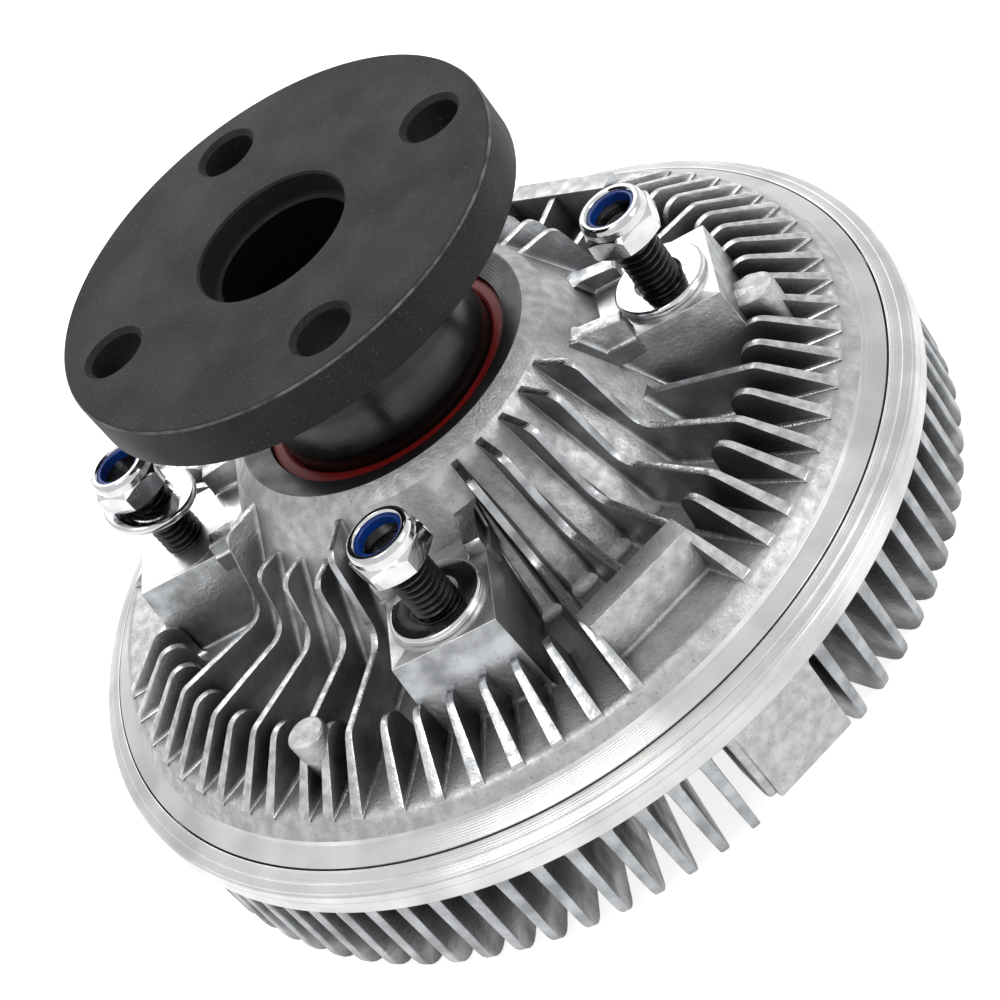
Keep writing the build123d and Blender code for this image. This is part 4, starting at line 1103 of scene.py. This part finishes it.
@dataclass
class FanFasteners:
    """The four fan studs with their washers, lock nuts and nylon inserts."""

    stud_radius: float = 4.73
    stud_top: float = 78.0
    pitch: float = 1.59
    nut_foot: float = 75.3
    hexagon_top: float = 80.3
    nut_top: float = 83.1
    flats: float = 14.5
    nut_lifts: tuple[float, ...] = (0.0, 0.0, 2.1, 0.0)
    loose_turn: float = 180.0
    loose_lift: float = 11.6
    loose_tilt: float = -17.0

    def around(self, make: Callable[[], BMesh], lifts: Sequence[float] = (0.0,) * 4) -> Shell:
        """One shape at each stud, raised by its lift."""
        shell = Shell()
        for turn, lift in zip(STUD_ANGLES, lifts):
            shell.add(make(), (turn,), offset=(STUD_CIRCLE, 0, lift))
        return shell

    def stud(self) -> BMesh:
        """A stud: plain shank in the boss, thread above it."""
        shank = ((0.0, 43.0), (4.7, 43.0), (4.7, 60.7, 0.3), (0.0, 60.7))
        whole = Shell().add(thread(3.85, self.stud_radius, self.pitch, 60.0, self.stud_top))
        return whole.add(lathe(shank, steps=48, closed=False)).take()

    def washer(self) -> BMesh:
        """A thick flat washer with rounded edges."""
        foot, top = BOSS_TOP, BOSS_TOP + 2.0
        section = ((5.3, foot, 0.2), (10.2, foot, 0.75), (10.2, top, 0.75), (5.3, top, 0.3))
        return lathe(section, steps=96, segments=5)

    def loose_washer(self) -> BMesh:
        """The washer that hangs aslant on its stud, up against the nut."""
        shape = self.washer()
        middle = Matrix.Translation((0, 0, BOSS_TOP + 1.0))
        slant = Matrix.Rotation(math.radians(self.loose_tilt), 4, "Y")
        tilt = middle @ slant @ middle.inverted()
        bmesh.ops.transform(shape, matrix=tilt, verts=shape.verts[:])
        return shape

    def nut(self) -> BMesh:
        """A lock nut: chamfered hexagon with a round collar rolled in at the top."""
        corner = self.flats / math.sqrt(3)
        foot, top, crown = self.nut_foot, self.hexagon_top, self.nut_top
        hexagon = bmesh.new()
        bmesh.ops.create_cone(
            hexagon, cap_ends=True, segments=6, radius1=corner, radius2=corner, depth=top - foot,
            matrix=Matrix.Translation((0, 0, (top + foot) / 2)),
        )
        chamfers = (
            (4.9, foot), (7.1, foot, 0.2), (corner + 0.1, foot + 0.75),
            (corner + 0.1, top - 0.95), (6.9, top + 0.1), (4.9, top),
        )
        body = boolean(hexagon, lathe(chamfers, steps=96), "INTERSECT")
        soften(body, sharp_edges(body, degrees=20), offset=0.12, segments=2)
        collar = (
            (6.2, top - 1.2), (7.1, top - 1.2), (7.1, crown - 1.2, 1.0), (6.6, crown, 0.7),
            (5.6, crown, 0.4), (5.2, crown - 0.5, 0.2), (5.3, crown - 0.9, 0.1),
            (6.2, crown - 1.0, 0.1),
        )
        return Shell().add(body).add(lathe(collar, steps=96)).take()

    def insert(self) -> BMesh:
        """The nylon ring inside a nut's collar."""
        foot, top = self.hexagon_top + 0.2, self.nut_top - 0.6
        section = (
            (6.0, foot), (6.0, top - 0.6, 0.1), (5.3, top - 0.5, 0.1), (5.15, top, 0.15),
            (4.6, top, 0.15), (4.45, top - 0.3, 0.1), (4.35, foot),
        )
        return lathe(section, steps=72)

    def build(self, black: Material, zinc: Material, nylon: Material) -> None:
        """Makes the four sets."""
        self.around(self.stud).finish("threaded_studs", "fan_studs", (black,), crease=40.0)
        flat = [turn for turn in STUD_ANGLES if turn != self.loose_turn]
        washers = Shell().add(self.washer(), flat, offset=(STUD_CIRCLE, 0, 0))
        hung = (STUD_CIRCLE, 0, self.loose_lift)
        washers.add(self.loose_washer(), (self.loose_turn,), offset=hung)
        washers.finish("round_washers", "stud_washers", (zinc,))
        nuts = self.around(self.nut, self.nut_lifts)
        nuts.finish("nylon_lock_nuts", "lock_nuts", (zinc,), crease=25.0)
        inserts = self.around(self.insert, self.nut_lifts)
        inserts.finish("nylon_rings", "nut_inserts", (nylon,))


@dataclass
class NeckSeal:
    """The red ring between hub and neck."""

    foot: float = 68.0
    top: float = 72.8

    def build(self, rubber: Material) -> Object:
        """Makes the ring, with a raised lip against the hub."""
        section = (
            (28.3, self.foot), (28.3, self.top - 0.3, 0.4), (27.0, self.top, 0.4),
            (25.9, self.top, 0.3), (25.1, self.top - 0.5, 0.2), (25.1, self.foot),
        )
        return Shell().add(lathe(section)).finish("neck_seal_ring", "neck_seal", (rubber,))


@dataclass
class Coil:
    """The thermostatic coil: a strip wound in half circles about two centres."""

    inner_radius: float = 5.0
    pitch: float = 2.9
    half_turns: int = 12
    thickness: float = 0.9
    width: float = 6.0
    foot: float = 2.0
    tab: float = 4.0
    steps: int = 24

    def path(self) -> list[Vector]:
        """The strip's centre line, from the valve shaft's slot to the anchor's slit."""
        points = [Vector((-1.75, 0, self.foot)), Vector((self.inner_radius, 0, self.foot))]
        for half in range(self.half_turns):
            odd = half % 2
            radius = self.inner_radius + self.pitch / 2 * half
            for step in range(1, self.steps + 1):
                angle = math.pi * odd + math.pi * step / self.steps
                across = self.pitch / 2 * odd + radius * math.cos(angle)
                points.append(Vector((across, radius * math.sin(angle), self.foot)))
        return [*points, points[-1] + Vector((self.tab, 0, 0))]

    def build(self, strip: Material) -> Object:
        """Makes the coil from its centre line, raised to a band and thickened."""
        shape, _, edges = line(self.path())
        draw_out(shape, bmesh.ops.extrude_edge_only(shape, edges=edges), (0, 0, self.width))
        bmesh.ops.solidify(shape, geom=shape.faces[:], thickness=self.thickness)
        shell = Shell().add(shape)
        return shell.finish("thermostatic_coil", "bimetal_coil", (strip,), crease=40.0)


class InnerParts:
    """Dresses the CAD nodes that no piece replaces."""

    def build(self, finishes: Iterable[tuple[Material, Sequence[str]]]) -> None:
        """Gives the nodes listed with each material that material."""
        for material, names in finishes:
            for name in names:
                slots = frame["nodes"][name].data.materials
                slots.clear()
                slots.append(material)
                log.info("%s: CAD node with %s", name, material.name)


@dataclass
class Studio:
    """Camera, floor, world and lamps."""

    location_mm: tuple[float, float, float] = (160.877, -439.735, 379.624)
    turn_degrees: tuple[float, float, float] = (45.9522, 30.5177, -6.3027)
    lens_mm: float = 98.125
    sensor_mm: float = 36.0
    world_strength: float = 0.32
    floor_size: float = 3.0
    floor_drop_mm: float = 0.3
    floor_glow: float = 0.85
    aim: tuple[float, float, float] = (0.0, 0.0, 0.06)

    def camera(self) -> None:
        """Sets the camera at the photograph's viewing angle."""
        data = bpy.data.cameras.new("camera")
        data.lens = self.lens_mm
        data.sensor_width = self.sensor_mm
        camera = link_new("camera", data)
        camera.location = [value * MM for value in self.location_mm]
        camera.rotation_euler = [math.radians(value) for value in self.turn_degrees]
        bpy.context.scene.camera = camera

    def seen(self, tree: NodeTree) -> Link:
        """One on camera, glossy and transmission rays, 0 on those that light matt surfaces."""
        rays = node(tree, "ShaderNodeLightPath")
        seen = (rays, "Is Camera Ray")
        for kind in ("Is Glossy Ray", "Is Transmission Ray"):
            either = {"operation": "MAXIMUM"}
            seen = (node(tree, "ShaderNodeMath", either, i0=seen, i1=(rays, kind)), 0)
        return seen

    def world(self) -> None:
        """A grey world that shows white behind the object and in its metal."""
        world = bpy.data.worlds.new("studio")
        bpy.context.scene.world = world
        world.use_nodes = True
        tree = world.node_tree
        background = tree.nodes["Background"]
        background.inputs["Color"].default_value = (1, 1, 1, 1)
        seen, dim = self.seen(tree), self.world_strength
        strength = node(tree, "ShaderNodeMapRange", i0=seen, i3=dim, i4=1.0)
        connect(tree, (strength, 0), background.inputs["Strength"])

    def floor(self) -> None:
        """A plain white floor that keeps a faint shadow of the object and is clear from below."""
        shape = bmesh.new()
        bmesh.ops.create_grid(shape, x_segments=1, y_segments=1, size=self.floor_size)
        mesh = bpy.data.meshes.new("floor")
        shape.to_mesh(mesh)
        shape.free()
        floor = link_new("floor", mesh)
        floor.location.z = -self.floor_drop_mm * MM
        material, tree, shader = new_material("studio_floor")
        shader.inputs["Base Color"].default_value = linear("F4F4F4")
        shader.inputs["Roughness"].default_value = 0.9
        shader.inputs["Emission Color"].default_value = (1, 1, 1, 1)
        seen, times = self.seen(tree), {"operation": "MULTIPLY"}
        glow = node(tree, "ShaderNodeMath", times, i0=seen, i1=self.floor_glow)
        connect(tree, (glow, 0), shader.inputs["Emission Strength"])
        below = (node(tree, "ShaderNodeNewGeometry"), "Backfacing")
        clear = (node(tree, "ShaderNodeBsdfTransparent"), 0)
        surface = node(tree, "ShaderNodeMixShader", i0=below, i1=(shader, 0), i2=clear)
        connect(tree, (surface, 0), tree.nodes["Material Output"].inputs["Surface"])
        mesh.materials.append(material)

    def lamp(self, name: str, place: Sequence[float], size: float, power: float) -> None:
        """Adds a square soft box that faces the object."""
        data = bpy.data.lights.new(name, "AREA")
        data.shape = "SQUARE"
        data.size = size
        data.energy = power
        lamp = link_new(name, data)
        lamp.location = place
        aim = Vector(self.aim) - Vector(place)
        lamp.rotation_euler = aim.to_track_quat("-Z", "Y").to_euler()

    def build(self) -> None:
        """Sets up the studio."""
        bpy.context.scene.view_settings.view_transform = "Standard"
        self.camera()
        self.world()
        self.floor()
        self.lamp("key_light", (-0.3, -0.45, 1.2), size=0.5, power=3.5)
        self.lamp("side_light", (1.0, -0.35, 0.5), size=0.5, power=3.0)
        self.lamp("back_light", (-0.25, 0.9, 0.85), size=0.9, power=5.0)


def main() -> None:
    """Builds every piece in order."""
    logging.basicConfig(level=logging.INFO, format="%(message)s")
    cast, rough = CAST_ALUMINIUM.material(), ROUGH_ALUMINIUM.material()
    turned, milled = TURNED_ALUMINIUM.material(), MILLED_ALUMINIUM.material()
    black, oiled = PHOSPHATED_STEEL.material(), OILED_STEEL.material()
    zinc, steel = BRIGHT_ZINC.material(), GROUND_STEEL.material()
    nitrile = BLACK_NITRILE.material()
    castings = (cast, turned, rough, milled, FACED_NECK_PAINTED_REFLECTION.material(), RUBBED_CREST_AND_PAINTED_HIGHLIGHT.material())
    RearCover().build(castings)
    FrontBody().build(castings)
    DriveFlange().build((black, oiled, WORN_EDGE_AND_PAINTED_HIGHLIGHT.material()))
    FanFasteners().build(oiled, zinc, BLUE_NYLON.material())
    NeckSeal().build(RED_SILICONE.material())
    Coil().build(BIMETAL_STRIP.material())
    InnerParts().build(
        (
            (steel, ("bearing_inner_ring", "bearing_outer_ring", "bearing_balls")),
            (steel, ("bearing_cage", "rotor_washer", "rotor_nut", "separator_plate")),
            (steel, ("separator_screws", "valve_arm", "valve_shaft", "coil_anchor")),
            (nitrile, ("bearing_seal_upper", "bearing_seal_lower", "cover_seal_ring")),
            (nitrile, ("valve_shaft_o_ring",)),
            (oiled, ("bearing_snap_ring",)),
            (turned, ("clutch_rotor",)),
        )
    )
    Studio().build()


if __name__ == "__main__":
    main()
